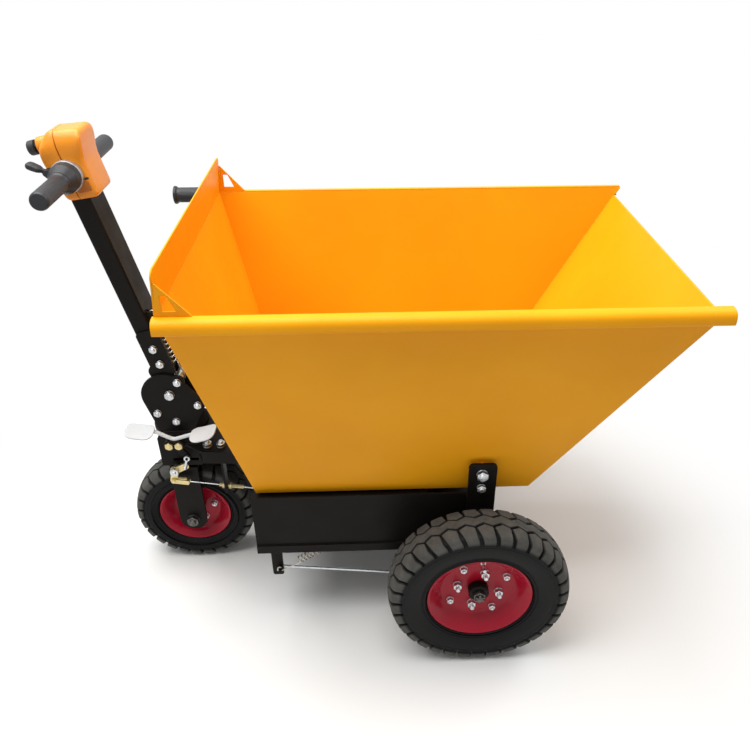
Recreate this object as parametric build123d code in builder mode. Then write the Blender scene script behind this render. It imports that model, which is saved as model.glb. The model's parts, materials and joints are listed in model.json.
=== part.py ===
from build123d import *
import math
import os

os.makedirs("parts", exist_ok=True)

# Electric hopper trolley. X is forward, the way the hopper tips. Y is left, Z is up, the floor is Z = 0.
# All sizes are in millimetres.

# Clearances
RUN = 0.05               # radial clearance of a shaft or pin in its bore
GAP = 0.3                # between pieces that move past each other
LOOSE = 1.6              # radial clearance where a linkage pin floats in its hole
CUT = 1.0                # how far a cutter runs past the face it cuts

# Wheel positions
FRONT_AXLE_X = 231.0
WHEELBASE = 678.0
WHEEL_Y = 344.0          # mid-plane of a front wheel
STEER_X = FRONT_AXLE_X - WHEELBASE

# Front wheels, 8 inch split rims
TYRE_R = 198.0
TYRE_W = 96.0
RIM_SEAT_R = 101.6
RIM_FLANGE_R = 114.0
RIM_HALF_W = 34.0
RIM_DISH_R = 82.0
RIM_BOLT_R = 69.0
RIM_BOLT_TURN = 30.0
HUB_NOSE_R = 22.0
HUB_NOSE_L = 24.0
HUB_FLANGE_R = 58.0
HUB_STUD_R = 47.5
DRUM_R = 74.0
DRUM_W = 46.0
TYRE_LUGS = 33

# Rear wheel, 6 inch split rim
REAR_TYRE_R = 151.0
REAR_TYRE_W = 93.0
REAR_SEAT_R = 76.2
REAR_FLANGE_R = 89.0
REAR_HALF_W = 36.0
REAR_DISH_R = 58.0
REAR_BOLT_R = 44.0
REAR_HUB_R = 20.0
REAR_LUGS = 26

# Common to the wheels
RIM_SHEET = 3.5
TYRE_WALL = 8.0
TREAD_T = 17.0
SHOULDER_DROP = 28.0     # how far below the crown the tread blocks reach
GROOVE_W = 8.0
GROOVE_DEPTH = 8.0
CROWN_RIB = 12.0         # half width of the unbroken centre rib
CROWN_FALL = 9.0         # how much lower the tread is at its shoulder
BEAD_W = 11.0
SHOULDER_IN = 8.0        # the tread's edge inside the widest point
GROOVE_SLANT = 18.0      # degrees
CONE_IN = 8.0            # bead seat outside the rim's cone
WHEEL_BOLTS = 4
REAR_BOLTS = 5
REAR_BOLT_TURN = 76.0
STUD_SIZE = 10.0
RIM_BOLT_SIZE = 8.0
WHEEL_NUT = 17.0
RIM_NUT = 13.0
HALF_SHAFT_R = 14.0
HALF_SHAFT_IN = 48.0     # how deep a half shaft runs in the axle tube
VALVE_R = 4.0
VALVE_L = 26.0
VALVE_RING_R = 76.0
VALVE_TURN = 85.0
HUB_FLANGE_T = 8.0
HUB_BEVEL = 3.0
DRUM_WALL = 8.0
HUB_NUT = 24.0
HUB_NUT_H = 14.0

# Chassis
CHASSIS_REAR = -253.0
CHASSIS_FRONT = 262.0
CHASSIS_HALF = 264.0     # outer face of a side plate
CHASSIS_PLATE = 4.0
CHASSIS_Z = 238.0
CHASSIS_TOP = 398.0
CHASSIS_FRONT_TOP = 385.0
RAIL_H = 21.0
RAIL_PROUD = 4.0
BULKHEAD_X = 118.0       # rear face of the front bulkhead
LID_Z = 384.0
LID_T = 4.0

# Hopper pivot brackets
BRACKET_REAR = 206.0
BRACKET_FRONT = 265.0
BRACKET_TOP = 483.0
BRACKET_T = 6.0
BRACKET_CORNER = 10.0
PACKING_T = 5.0          # packing between a bracket and the chassis
PACKING_EDGE = 5.0       # packing inside the bracket's edge
TIP_X = 234.0
TIP_Z = 458.0
TIP_BOLT_R = 8.0
TIP_BOSS_R = 18.0
TIP_BOLT_IN = 257.5      # tip of a pivot bolt inside its boss
LOCK_BOLT_Z = 422.0
FRAME_BOLTS_Z = (302.0, 340.0)
FRAME_BOLT_R = 5.0
FRAME_NUT = 17.0
FRAME_NUT_H = 7.0

# Hopper
FLOOR_Z = 396.0
FLOOR_REAR = -243.0
FLOOR_FRONT = 342.0
FLOOR_HALF = 245.0
MOUTH_Z = 864.0
MOUTH_REAR = -356.0
MOUTH_FRONT = 638.5
MOUTH_HALF = 328.7
SHEET = 3.0
FRONT_LIP_Z = 845.0
RIM_OUT = 350.0          # outer face of a rolled rim
RIM_DROP = 28.0
RIM_RETURN = 11.0
RIM_BEND = 9.0
RIM_CURL = 4.0
RIM_REAR = -359.0
RIM_FRONT = 637.0
GUARD_TOP = 950.0
GUARD_LEAN = 7.0
GUARD_CORNER = 14.0
GUSSET_FOOT = 62.0
GUSSET_DROP = 21.0       # gusset tip below the top of the guard
GUSSET_HOLE = (13.0, 10.0)        # hole's corner from the foot of the gusset
GUSSET_HOLE_SIZE = (24.0, 11.0, 30.0)   # length at its foot and its top, height
GRIP_INSET = 78.7        # lift handle inside the tub's side
GRIP_Y = MOUTH_HALF - GRIP_INSET
GRIP_Z = 884.0
GRIP_L = 88.0
GRIP_R = 17.0
GRIP_FLANGE_R = 21.0
GRIP_FLANGE_T = 7.0
GRIP_END_T = 4.0
STUB_R = 11.0
STUB_PLATE_R = 19.5
STUB_PLATE_T = 5.0

# Neck and steering box
NECK_Z = 390.0
NECK_T = 6.0
NECK_SKIRT = 34.0
NECK_HALF = 100.0
NECK_TAPER_X = -388.0
NECK_TIP = 15.0          # tip of the platform ahead of the steering axis
NECK_TAPER_HALF = 92.0
BOX_HALF_X = 47.0
BOX_HALF_Y = 60.0
BOX_Z = 326.0
BOX_TOP = 407.0
BOX_WALL = 8.0
BOX_SLOT_X = 11.0        # middle of the slot ahead of the steering axis
BOX_SLOT_Z = 344.0
BOX_SLOT_L = 60.0
BOX_SLOT_H = 8.0
KINGPIN_R = 18.0
BEARING_R = 26.0
BEARING_H = 16.0
BEARING_FLANGE_R = 34.0
BEARING_FLANGE_T = 5.0
NECK_BOLTS = ((-378.0, 69.0), (-346.0, 70.0))
NECK_BOLT_R = 6.0
NECK_NUT = 19.0
NECK_NUT_H = 9.0
NECK_BOLT_PROUD = 5.0
KINGPIN_NUT = 46.0
KINGPIN_NUT_H = 13.0
KINGPIN_PROUD = 3.0

# Fork
LEG_IN = 52.0
LEG_T = 8.0
LEG_HALF = 33.0
CROWN_Z = 308.0
CROWN_T = 10.0
REAR_BOLT_SHAFT_R = 8.0
REAR_NUT = 27.0
REAR_NUT_H = 11.0
REAR_SPACER_R = 16.0

# Tiller base
TABLE_R = 63.0
TABLE_T = 8.0
CHEEK_IN = 45.5
CHEEK_T = 6.0
CHEEK_DISC = (-456.0, 521.0)
CHEEK_DISC_R = 55.0
CHEEK_EAR_R = 16.0
CHEEK_FOOT = 76.0
CHEEK_FOOT_T = 2.0
STOP_BOLT = (-425.0, 557.0)
EAR_BOLT = (-388.0, 495.0)
CHEEK_BOLTS = (EAR_BOLT, (-482.0, 475.0), (-443.0, 451.0))
CHEEK_BOLT_R = 5.0
CHEEK_SPACER_R = 9.0
CHEEK_NUT = 17.0
CHEEK_NUT_H = 7.0

# Tiller
PIVOT_Z = 524.0
PIVOT_R = 8.0
PIVOT_NUT = 24.0
PIVOT_NUT_H = 10.0
LEAN = 12.5              # degrees back from upright, at rest
TUBE_T = 38.0
TUBE_Y = 76.0
TUBE_WALL = 3.0
TUBE_CORNER = 5.0
TUBE_FOOT = 45.0
TUBE_TOP = 535.0
YOKE_T = 6.0
YOKE_SIDE = 0.2
YOKE_BACK = 17.0
YOKE_FRONT = 32.0
YOKE_EYE_R = 19.0
YOKE_LOW = 45.0
YOKE_HEEL = (-8.0, 60.0)   # middle of the round heel at the back of the yoke
YOKE_HEEL_R = 18.0
YOKE_TOP = 160.0
YOKE_CORNER = 8.0
YOKE_BUSH_R = 14.0
YOKE_BOLTS = (78.0, 117.0)
YOKE_BOLT_T = 7.5
YOKE_BOLT_R = 5.0
SPRING_LUG_S = 185.0
SPRING_LUG_T = 29.0
SPRING_Y = -20.0
SPRING_PIN_R = 4.0
LUG_PLATE = 3.0
LUG_HALF = 7.0
LUG_FOOT = 27.0
SPRING_WIRE = 3.0
SPRING_COIL_R = 7.0
SPRING_TURNS = 9
SPRING_COIL_PART = (0.2, 0.84)

# Tiller head
HEAD_HALF = 45.0
HEAD_SPLIT = 3.0
HEAD_ROUND = 7.0
HEAD_OUTLINE = ((41, 458), (41, 530), (50, 560), (54, 583), (-8, 592), (-33, 567), (-36, 540), (-22, 462))
HEAD_SHOULDER_S = 566.0
HEAD_SHOULDER_TOP = 587.0
HEAD_SHOULDER_Y = 28.0
HEAD_TOP_S = 600.0
POCKET_DEPTH = 3.0
POCKET_SLOT = (26.0, 497.0)
POCKET_SLOT_SIZE = (22.0, 4.0)
POCKET_BAY = (20.0, 483.0)
POCKET_BAY_SIZE = (28.0, 20.0)
POCKET_CORNER = 4.0
BAR_S = 510.0
BAR_T = 2.0
BAR_R = 12.5
BAR_HALF = 190.0
HAND_HALF = 195.0
HAND_R = 17.0
HAND_FLARE_R = 18.0
HAND_FLARE_L = 6.0
HAND_FLANGE_R = 24.0
COLLAR_IN = 47.0
COLLAR_OUT = 90.0
COLLAR_BIG_R = 28.0
COLLAR_SMALL_R = 20.0
COLLAR_STEP = 72.0
LEVER_Y = 58.0
LEVER_W = 8.0
LEVER_PAD_W = 22.0
LEVER_REACH = 33.0
LEVER_PIN_R = 2.5
LEVER_HUB_R = 6.0
LEVER_ANGLE = 30.3       # degrees the lever lug stands above straight back
LEVER_TIP = (546.0, -52.0)
LEVER_TIP_R = 7.0
LEVER_EAR_T = 4.0
LEVER_EAR_IN_R = 18.0
LEVER_ARM_R = 5.0
BUTTON_S = 565.0
BUTTON_R = 14.0
BUTTON_STEM_R = 8.0
BUTTON_TRAVEL = 6.0
BUTTON_BOSS_R = 17.0
BUTTON_BOSS_L = 28.0
BUTTON_ROUND = 4.0
BUTTON_BOSS_T = -45.0
BUTTON_FACE_T = -66.0
BUTTON_STEM_END = -20.0

# Foot pedal and brake linkage, all beside the steering box on the right-hand side
PEDAL = (STEER_X - 3.0, 398.0)
PEDAL_Y = -84.0          # outer face of the rocker
PEDAL_BAR_T = 8.0
PEDAL_BAR_H = 9.0
PEDAL_HUB_R = 13.0
PEDAL_LUG_R = 9.0
PEDAL_STUD_R = 7.0
PEDAL_SPACER_R = 11.0
PEDAL_SPACER_L = 6.0     # keeps the rocker outside the turntable's edge
PEDAL_PAD_W = 56.0
PEDAL_PAD_CORNER = 20.0
PEDAL_PAD_Y = -92.0      # middle of the foot pads
PEDAL_PAD_T = 4.0
PEDAL_APEX = (-448.0, 422.0)
PEDAL_REAR = ((-486.0, 448.0), (-548.0, 459.0))
PEDAL_FRONT = ((-406.0, 437.0), (-347.0, 451.0))
PEDAL_BOLT_SPAN = 22.0
PEDAL_BOLT_UP = 6.0
PEDAL_NUT = 13.0
PEDAL_BOLT_R = 4.0
PEDAL_BOLT_L = 6.0
PEDAL_BOLT_H = 6.0
RING = (-426.0, 367.0)
BALL = (-435.0, 338.0)
CRANK = (-462.0, 325.0)
CLEVIS = (-469.0, 296.0)
LINK_Y = -80.0           # outer face of the linkage plates
LINK_T = 6.0
LINK_ROD_R = 2.5
LINK_EYE_R = 7.0
LINK_END_R = 8.0
LINK_PROUD = 2.0         # pins past the plates they hold
LINK_PIN_R = 3.0
LINK_BALL_R = 5.0
LINK_SIDE = 2.4          # between the link and the plates it joins
CRANK_STUD_R = 5.0
CRANK_HUB_R = 11.0
CRANK_ARM_R = 9.0
CRANK_BOSS_R = 6.5
CRANK_NUT = 19.0
CRANK_NUT_H = 8.0
CLEVIS_T = 3.0
CLEVIS_SIDE = 1.0
CLEVIS_L = 36.0
RELAY_CLEVIS_L = 22.0
CLEVIS_H = 12.0
WIRE_R = 1.5
STOP_X = -348.0
STOP_T = 5.0
STOP_W = 20.0
ADJUSTER_R = 4.5
ADJUSTER_REAR = 18.0
ADJUSTER_FRONT = 40.0
ADJUSTER_NUT = 14.0
ADJUSTER_NUT_H = 6.0

# Brake relay, rods and cam levers
RELAY_X = -220.0
RELAY_Z = 337.0
RELAY_R = 9.0
RELAY_BOSS_R = 16.0
RELAY_BOSS_L = 12.0
CABLE_ARM_Z = 252.0      # cable pin in the relay arm
RELAY_HUB_R = 14.0
POST_W = 25.0
POST_CORNER = 5.0
POST_T = 8.0
POST_Y = 220.0
ROD_Z = 136.0            # rod hole in a post
POST_FOOT_Z = 122.0
SPRING_PIN_Z = 148.0
ROD_R = 3.5
ROD_FIT = 0.5            # radial clearance of a rod's end in its post
ROD_BEND = 5.5
ROD_INSET = 10.0         # rods run beside the posts
CAM_X = 182.7
CAM_Z = 145.6
CAM_LEVER_L = 60.0
CAM_LEAN = 7.0
CAM_R = 6.0
CAM_HUB_R = 11.0
CAM_LEVER_R = 9.0
CAM_LEVER_T = 6.0
RETURN_EYE_X = -96.0
RETURN_EYE_Z = 224.0
RETURN_EAR_R = 9.0
RETURN_Y = 12.0          # spring plane outboard of a post's middle
RETURN_WIRE = 3.0
RETURN_COIL_R = 8.0
RETURN_TURNS = 7
RETURN_COIL_PART = (0.38, 0.85)
RETURN_PIN_X = 6.0       # spring pin ahead of a post's middle
POST_SWING = 12.0        # how far a post moves back through the chassis floor

# Axle and drive
AXLE_TUBE_R = 24.0
AXLE_END = 281.0
GEARCASE_R = 72.0
GEARCASE_HALF = 55.0
MOTOR_X = 106.0
MOTOR_Z = 178.0
MOTOR_R = 52.0
MOTOR_L = 150.0
MOTOR_ROUND = 10.0
TERMINAL = (44.0, 60.0, 16.0)
REDUCER_W = 34.0
BACKPLATE_R = 84.0
BACKPLATE_T = 4.0
CLAMP_R = 44.0

# Battery, controller and pads
BATTERY = (240.0, 240.0, 120.0)
BATTERY_AT = (-40.0, 100.0)
BATTERY_CORNER = 8.0
BATTERY_CAP_H = 18.0
BATTERY_CAP_IN = 5.0
BATTERY_CAP_CORNER = 6.0
CONTROLLER = (160.0, 90.0, 55.0)
CONTROLLER_AT = (-20.0, -150.0)
CONTROLLER_CORNER = 4.0
FIN_SLOTS = 5
FIN_PITCH = 15.0
FIN_SLOT_W = 7.0
FIN_DEPTH = 10.0
FIN_EDGE = 5.0
PAD = (70.0, 60.0)
PAD_AT = (-190.0, 150.0)
PAD_CORNER = 8.0


def save(piece, label):
    """Label a finished piece and write it."""
    piece.part.label = label
    export_step(piece.part, f"parts/{label}.step")


def side_view(y):
    """Upright plane at this Y: its own x is X and its y is Z, and it extrudes towards -Y."""
    return Plane(origin=(0, y, 0), x_dir=(1, 0, 0), z_dir=(0, -1, 0))


def block(x, y, z, mode=Mode.ADD):
    """A box between its limits along X, Y and Z."""
    with Locations(((x[0] + x[1]) / 2, (y[0] + y[1]) / 2, (z[0] + z[1]) / 2)):
        Box(x[1] - x[0], y[1] - y[0], z[1] - z[0], mode=mode)


def round_y(at, y, radius, mode=Mode.ADD):
    """A cylinder along Y about the point at = (x, z), between two values of Y."""
    with Locations((at[0], (y[0] + y[1]) / 2, at[1])):
        Cylinder(radius, abs(y[1] - y[0]), rotation=(90, 0, 0), mode=mode)


def hex_y(at, y, across):
    """A hexagon along Y about the point at = (x, z), between two values of Y."""
    with BuildSketch(side_view(max(y))) as head:
        with Locations(at):
            RegularPolygon(across / 2, 6, major_radius=False)
    extrude(head.sketch, amount=abs(y[1] - y[0]))


def through_bolt(at, half, radius, across, head):
    """A bolt along Y through both sides of the machine, with a hexagon at each end."""
    round_y(at, (-half - head, half + head), radius)
    hex_y(at, (-half - head, -half), across)
    hex_y(at, (half, half + head), across)


# Tiller directions: s runs up the tube from the pivot, t runs forward, square to the tube
LEAN_SIN = math.sin(math.radians(LEAN))
LEAN_COS = math.cos(math.radians(LEAN))
TILLER_UP = (-LEAN_SIN, 0, LEAN_COS)
TILLER_OUT = (LEAN_COS, 0, LEAN_SIN)


def on_tiller(s, t):
    """The (x, z) of a point given along and across the tiller."""
    return (STEER_X - s * LEAN_SIN + t * LEAN_COS, PIVOT_Z + s * LEAN_COS + t * LEAN_SIN)


def tiller_side(y):
    """Upright plane at this Y with its own x along t and its y along s; it extrudes towards -Y."""
    return Plane(origin=(STEER_X, y, PIVOT_Z), x_dir=TILLER_OUT, z_dir=(0, -1, 0))


def tiller_section(s):
    """Plane across the tiller at this s: its own x is t and its y is Y."""
    x, z = on_tiller(s, 0)
    return Plane(origin=(x, 0, z), x_dir=TILLER_OUT, z_dir=TILLER_UP)


# Chassis
INNER_HALF = CHASSIS_HALF - CHASSIS_PLATE
INNER_REAR = CHASSIS_REAR + CHASSIS_PLATE
INNER_FLOOR = CHASSIS_Z + CHASSIS_PLATE
CABLE_Y = LINK_Y + LINK_T / 2
CABLE_SLOPE = (CABLE_ARM_Z - CLEVIS[1]) / (RELAY_X - CLEVIS[0])


def cable_z(x):
    """Height of the brake cable's straight line at this X."""
    return CLEVIS[1] + CABLE_SLOPE * (x - CLEVIS[0])


with BuildPart() as chassis_box:
    for side in (1, -1):
        face = INNER_HALF if side < 0 else CHASSIS_HALF
        with BuildSketch(side_view(side * face)):
            Polygon(
                (CHASSIS_REAR, CHASSIS_Z),
                (CHASSIS_FRONT, CHASSIS_Z),
                (CHASSIS_FRONT, CHASSIS_FRONT_TOP),
                (BRACKET_REAR, CHASSIS_FRONT_TOP),
                (BRACKET_REAR, CHASSIS_TOP),
                (CHASSIS_REAR, CHASSIS_TOP),
            )
            with Locations(*[((BRACKET_REAR + BRACKET_FRONT) / 2, z) for z in FRAME_BOLTS_Z]):
                Circle(FRAME_BOLT_R + RUN, mode=Mode.SUBTRACT)
        extrude(amount=CHASSIS_PLATE)
        rail = sorted((side * CHASSIS_HALF, side * (CHASSIS_HALF + RAIL_PROUD)))
        block((CHASSIS_REAR, BRACKET_REAR), rail, (CHASSIS_Z, CHASSIS_Z + RAIL_H))
        boss = sorted((side * INNER_HALF, side * (INNER_HALF - RELAY_BOSS_L)))
        round_y((RELAY_X, RELAY_Z), boss, RELAY_BOSS_R)
        round_y((RELAY_X, RELAY_Z), boss, RELAY_R + RUN, mode=Mode.SUBTRACT)
        ear_y = side * (POST_Y + RETURN_Y)
        for step in (-LUG_HALF, LUG_HALF - LUG_PLATE):
            with BuildSketch(side_view(ear_y + step + LUG_PLATE)):
                with Locations((RETURN_EYE_X, RETURN_EYE_Z)):
                    Circle(RETURN_EAR_R)
                with Locations((RETURN_EYE_X, CHASSIS_Z - RETURN_EAR_R / 2)):
                    Rectangle(2 * RETURN_EAR_R, RETURN_EAR_R)
                make_hull()
            extrude(amount=LUG_PLATE)
        round_y((RETURN_EYE_X, RETURN_EYE_Z), (ear_y - LUG_HALF, ear_y + LUG_HALF), SPRING_PIN_R)
    across = (-INNER_HALF, INNER_HALF)
    block((CHASSIS_REAR, BULKHEAD_X + CHASSIS_PLATE), across, (CHASSIS_Z, INNER_FLOOR))
    block((CHASSIS_REAR, INNER_REAR), across, (INNER_FLOOR, LID_Z))
    block((BULKHEAD_X, BULKHEAD_X + CHASSIS_PLATE), across, (INNER_FLOOR, LID_Z))
    for side in (1, -1):
        slot_x = (RELAY_X - POST_W / 2 - POST_SWING, RELAY_X + POST_W / 2 + LOOSE)
        slot_y = (side * POST_Y - POST_T / 2 - LOOSE, side * POST_Y + POST_T / 2 + LOOSE)
        block(slot_x, slot_y, (CHASSIS_Z, INNER_FLOOR), mode=Mode.SUBTRACT)
    with Locations(((CHASSIS_REAR + INNER_REAR) / 2, CABLE_Y, cable_z(CHASSIS_REAR))):
        Cylinder(WIRE_R + LOOSE, 2 * CHASSIS_PLATE, rotation=(0, 90, 0), mode=Mode.SUBTRACT)
save(chassis_box, "chassis_box")

with BuildPart() as battery_lid:
    lid_half = INNER_HALF - GAP
    block((CHASSIS_REAR, BULKHEAD_X + CHASSIS_PLATE), (-lid_half, lid_half), (LID_Z, LID_Z + LID_T))
save(battery_lid, "battery_lid")

LID_TOP = LID_Z + LID_T
with BuildPart() as rest_pads:
    for side in (1, -1):
        with BuildSketch(Plane.XY.offset(LID_TOP)):
            with Locations((PAD_AT[0], side * PAD_AT[1])):
                RectangleRounded(PAD[0], PAD[1], PAD_CORNER)
        extrude(amount=FLOOR_Z - GAP - LID_TOP)
save(rest_pads, "rest_pads")

with BuildPart() as battery:
    with BuildSketch(Plane.XY.offset(INNER_FLOOR)):
        with Locations(BATTERY_AT):
            RectangleRounded(BATTERY[0], BATTERY[1], BATTERY_CORNER)
    extrude(amount=BATTERY[2] - BATTERY_CAP_H)
    with BuildSketch(Plane.XY.offset(INNER_FLOOR + BATTERY[2] - BATTERY_CAP_H)):
        with Locations(BATTERY_AT):
            cap = (BATTERY[0] - 2 * BATTERY_CAP_IN, BATTERY[1] - 2 * BATTERY_CAP_IN)
            RectangleRounded(*cap, BATTERY_CAP_CORNER)
    extrude(amount=BATTERY_CAP_H)
save(battery, "battery")

with BuildPart() as controller:
    with BuildSketch(Plane.XY.offset(INNER_FLOOR)):
        with Locations(CONTROLLER_AT):
            RectangleRounded(CONTROLLER[0], CONTROLLER[1], CONTROLLER_CORNER)
    extrude(amount=CONTROLLER[2])
    with Locations((CONTROLLER_AT[0], CONTROLLER_AT[1], INNER_FLOOR + CONTROLLER[2])):
        with GridLocations(0, FIN_PITCH, 1, FIN_SLOTS):
            Box(CONTROLLER[0] - 2 * FIN_EDGE, FIN_SLOT_W, 2 * FIN_DEPTH, mode=Mode.SUBTRACT)
save(controller, "controller")

# Neck platform with its skirt, notched round the steering box
BOX_FRONT = STEER_X + BOX_HALF_X
NECK_TIP_X = STEER_X + NECK_TIP
neck_outline = (
    (CHASSIS_REAR, -NECK_HALF),
    (CHASSIS_REAR, NECK_HALF),
    (NECK_TAPER_X, NECK_TAPER_HALF),
    (NECK_TIP_X, BOX_HALF_Y),
    (BOX_FRONT, BOX_HALF_Y),
    (BOX_FRONT, -BOX_HALF_Y),
    (NECK_TIP_X, -BOX_HALF_Y),
    (NECK_TAPER_X, -NECK_TAPER_HALF),
)
with BuildPart() as neck:
    with BuildSketch(Plane.XY.offset(NECK_Z)):
        Polygon(*neck_outline)
    extrude(amount=-NECK_T)
    with BuildSketch(Plane.XY.offset(NECK_Z - NECK_SKIRT)):
        Polygon(
            (CHASSIS_REAR, -NECK_HALF),
            (CHASSIS_REAR, NECK_HALF),
            (NECK_TAPER_X, NECK_TAPER_HALF),
            (BOX_FRONT, BOX_HALF_Y + BOX_WALL),
            (BOX_FRONT, -BOX_HALF_Y - BOX_WALL),
            (NECK_TAPER_X, -NECK_TAPER_HALF),
        )
        offset(amount=-NECK_T, mode=Mode.SUBTRACT)
    extrude(amount=NECK_SKIRT - NECK_T)
    for x, y in NECK_BOLTS:
        for side in (1, -1):
            with Locations((x, side * y, NECK_Z)):
                Cylinder(NECK_BOLT_R + RUN, 3 * NECK_T, mode=Mode.SUBTRACT)
save(neck, "neck")

with BuildPart() as steering_box:
    with BuildSketch(Plane.XY.offset(BOX_Z)):
        with Locations((STEER_X, 0)):
            Rectangle(2 * BOX_HALF_X, 2 * BOX_HALF_Y)
            Rectangle(2 * (BOX_HALF_X - BOX_WALL), 2 * (BOX_HALF_Y - BOX_WALL), mode=Mode.SUBTRACT)
            Circle(BEARING_R + BOX_WALL)
            Circle(BEARING_R, mode=Mode.SUBTRACT)
    extrude(amount=BOX_TOP - BOX_Z)
    for z in (BOX_Z, BOX_TOP - BOX_WALL):
        with BuildSketch(Plane.XY.offset(z)):
            with Locations((STEER_X, 0)):
                Rectangle(2 * BOX_HALF_X, 2 * BOX_HALF_Y)
                Circle(BEARING_R, mode=Mode.SUBTRACT)
        extrude(amount=BOX_WALL)
    with BuildSketch(side_view(BOX_WALL - BOX_HALF_Y)):
        with Locations((STEER_X + BOX_SLOT_X, BOX_SLOT_Z)):
            SlotOverall(BOX_SLOT_L, BOX_SLOT_H)
    extrude(amount=BOX_WALL, mode=Mode.SUBTRACT)
save(steering_box, "steering_box")

BEARING_TOP = BOX_TOP + BEARING_FLANGE_T
with BuildPart() as steering_bearings:
    for inner, outer in ((BOX_TOP - BEARING_H, BEARING_TOP), (BOX_Z + BEARING_H, BOX_Z - BEARING_FLANGE_T)):
        step = math.copysign(1, outer - inner)
        with BuildSketch(Plane.XY.offset(inner)):
            with Locations((STEER_X, 0)):
                Circle(BEARING_R - RUN)
                Circle(KINGPIN_R + RUN, mode=Mode.SUBTRACT)
        extrude(amount=outer - inner)
        with BuildSketch(Plane.XY.offset(outer)):
            with Locations((STEER_X, 0)):
                Circle(BEARING_FLANGE_R)
                Circle(KINGPIN_R + RUN, mode=Mode.SUBTRACT)
        extrude(amount=-step * BEARING_FLANGE_T)
save(steering_bearings, "steering_bearings")

# Hopper pivot brackets: plates with packing, which also clamp the axle tube
BRACKET_IN = CHASSIS_HALF + PACKING_T
BRACKET_OUT = BRACKET_IN + BRACKET_T
BRACKET_MID = (BRACKET_REAR + BRACKET_FRONT) / 2
with BuildPart() as pivot_brackets:
    for side in (1, -1):
        with BuildSketch(side_view(max(side * BRACKET_IN, side * BRACKET_OUT))):
            with Locations((BRACKET_MID, (BRACKET_TOP + TYRE_R) / 2)):
                bracket_plate = Rectangle(BRACKET_FRONT - BRACKET_REAR, BRACKET_TOP - TYRE_R)
            fillet(bracket_plate.vertices().group_by(Axis.Y)[-1], BRACKET_CORNER)
            with Locations((FRONT_AXLE_X, TYRE_R)):
                Circle(CLAMP_R)
                Circle(AXLE_TUBE_R + RUN, mode=Mode.SUBTRACT)
            with Locations((TIP_X, TIP_Z)):
                Circle(TIP_BOLT_R + RUN, mode=Mode.SUBTRACT)
            with Locations(*[(BRACKET_MID, z) for z in FRAME_BOLTS_Z], (TIP_X, LOCK_BOLT_Z)):
                Circle(FRAME_BOLT_R + RUN, mode=Mode.SUBTRACT)
        extrude(amount=BRACKET_T)
        with BuildSketch(side_view(max(side * CHASSIS_HALF, side * BRACKET_IN))):
            with Locations((BRACKET_MID, (CHASSIS_Z + CHASSIS_FRONT_TOP) / 2)):
                Rectangle(BRACKET_FRONT - BRACKET_REAR - 2 * PACKING_EDGE, CHASSIS_FRONT_TOP - CHASSIS_Z)
            with Locations(*[(BRACKET_MID, z) for z in FRAME_BOLTS_Z]):
                Circle(FRAME_BOLT_R + RUN, mode=Mode.SUBTRACT)
        extrude(amount=PACKING_T)
save(pivot_brackets, "pivot_brackets")

with BuildPart() as tip_pivot_bolts:
    for side in (1, -1):
        round_y((TIP_X, TIP_Z), sorted((side * TIP_BOLT_IN, side * BRACKET_OUT)), TIP_BOLT_R)
        hex_y((TIP_X, TIP_Z), (side * BRACKET_OUT, side * (BRACKET_OUT + PIVOT_NUT_H)), PIVOT_NUT)
save(tip_pivot_bolts, "tip_pivot_bolts")

with BuildPart() as frame_bolts:
    for side in (1, -1):
        head = (side * BRACKET_OUT, side * (BRACKET_OUT + FRAME_NUT_H))
        round_y((TIP_X, LOCK_BOLT_Z), sorted((side * BRACKET_IN, side * BRACKET_OUT)), FRAME_BOLT_R)
        hex_y((TIP_X, LOCK_BOLT_Z), head, FRAME_NUT)
        for z in FRAME_BOLTS_Z:
            round_y((BRACKET_MID, z), sorted((side * INNER_HALF, side * BRACKET_OUT)), FRAME_BOLT_R)
            hex_y((BRACKET_MID, z), head, FRAME_NUT)
            hex_y((BRACKET_MID, z), (side * INNER_HALF, side * (INNER_HALF - FRAME_NUT_H)), FRAME_NUT)
        for x, y in NECK_BOLTS:
            with Locations((x, side * y, NECK_Z - NECK_T)):
                bolt_l = NECK_T + NECK_NUT_H + NECK_BOLT_PROUD
                Cylinder(NECK_BOLT_R, bolt_l, align=(Align.CENTER, Align.CENTER, Align.MIN))
            with BuildSketch(Plane.XY.offset(NECK_Z)):
                with Locations((x, side * y)):
                    RegularPolygon(NECK_NUT / 2, 6, major_radius=False)
            extrude(amount=NECK_NUT_H)
            with BuildSketch(Plane.XY.offset(NECK_Z - NECK_T)):
                with Locations((x, side * y)):
                    RegularPolygon(NECK_NUT / 2, 6, major_radius=False)
            extrude(amount=-NECK_NUT_H)
save(frame_bolts, "frame_bolts")

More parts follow.
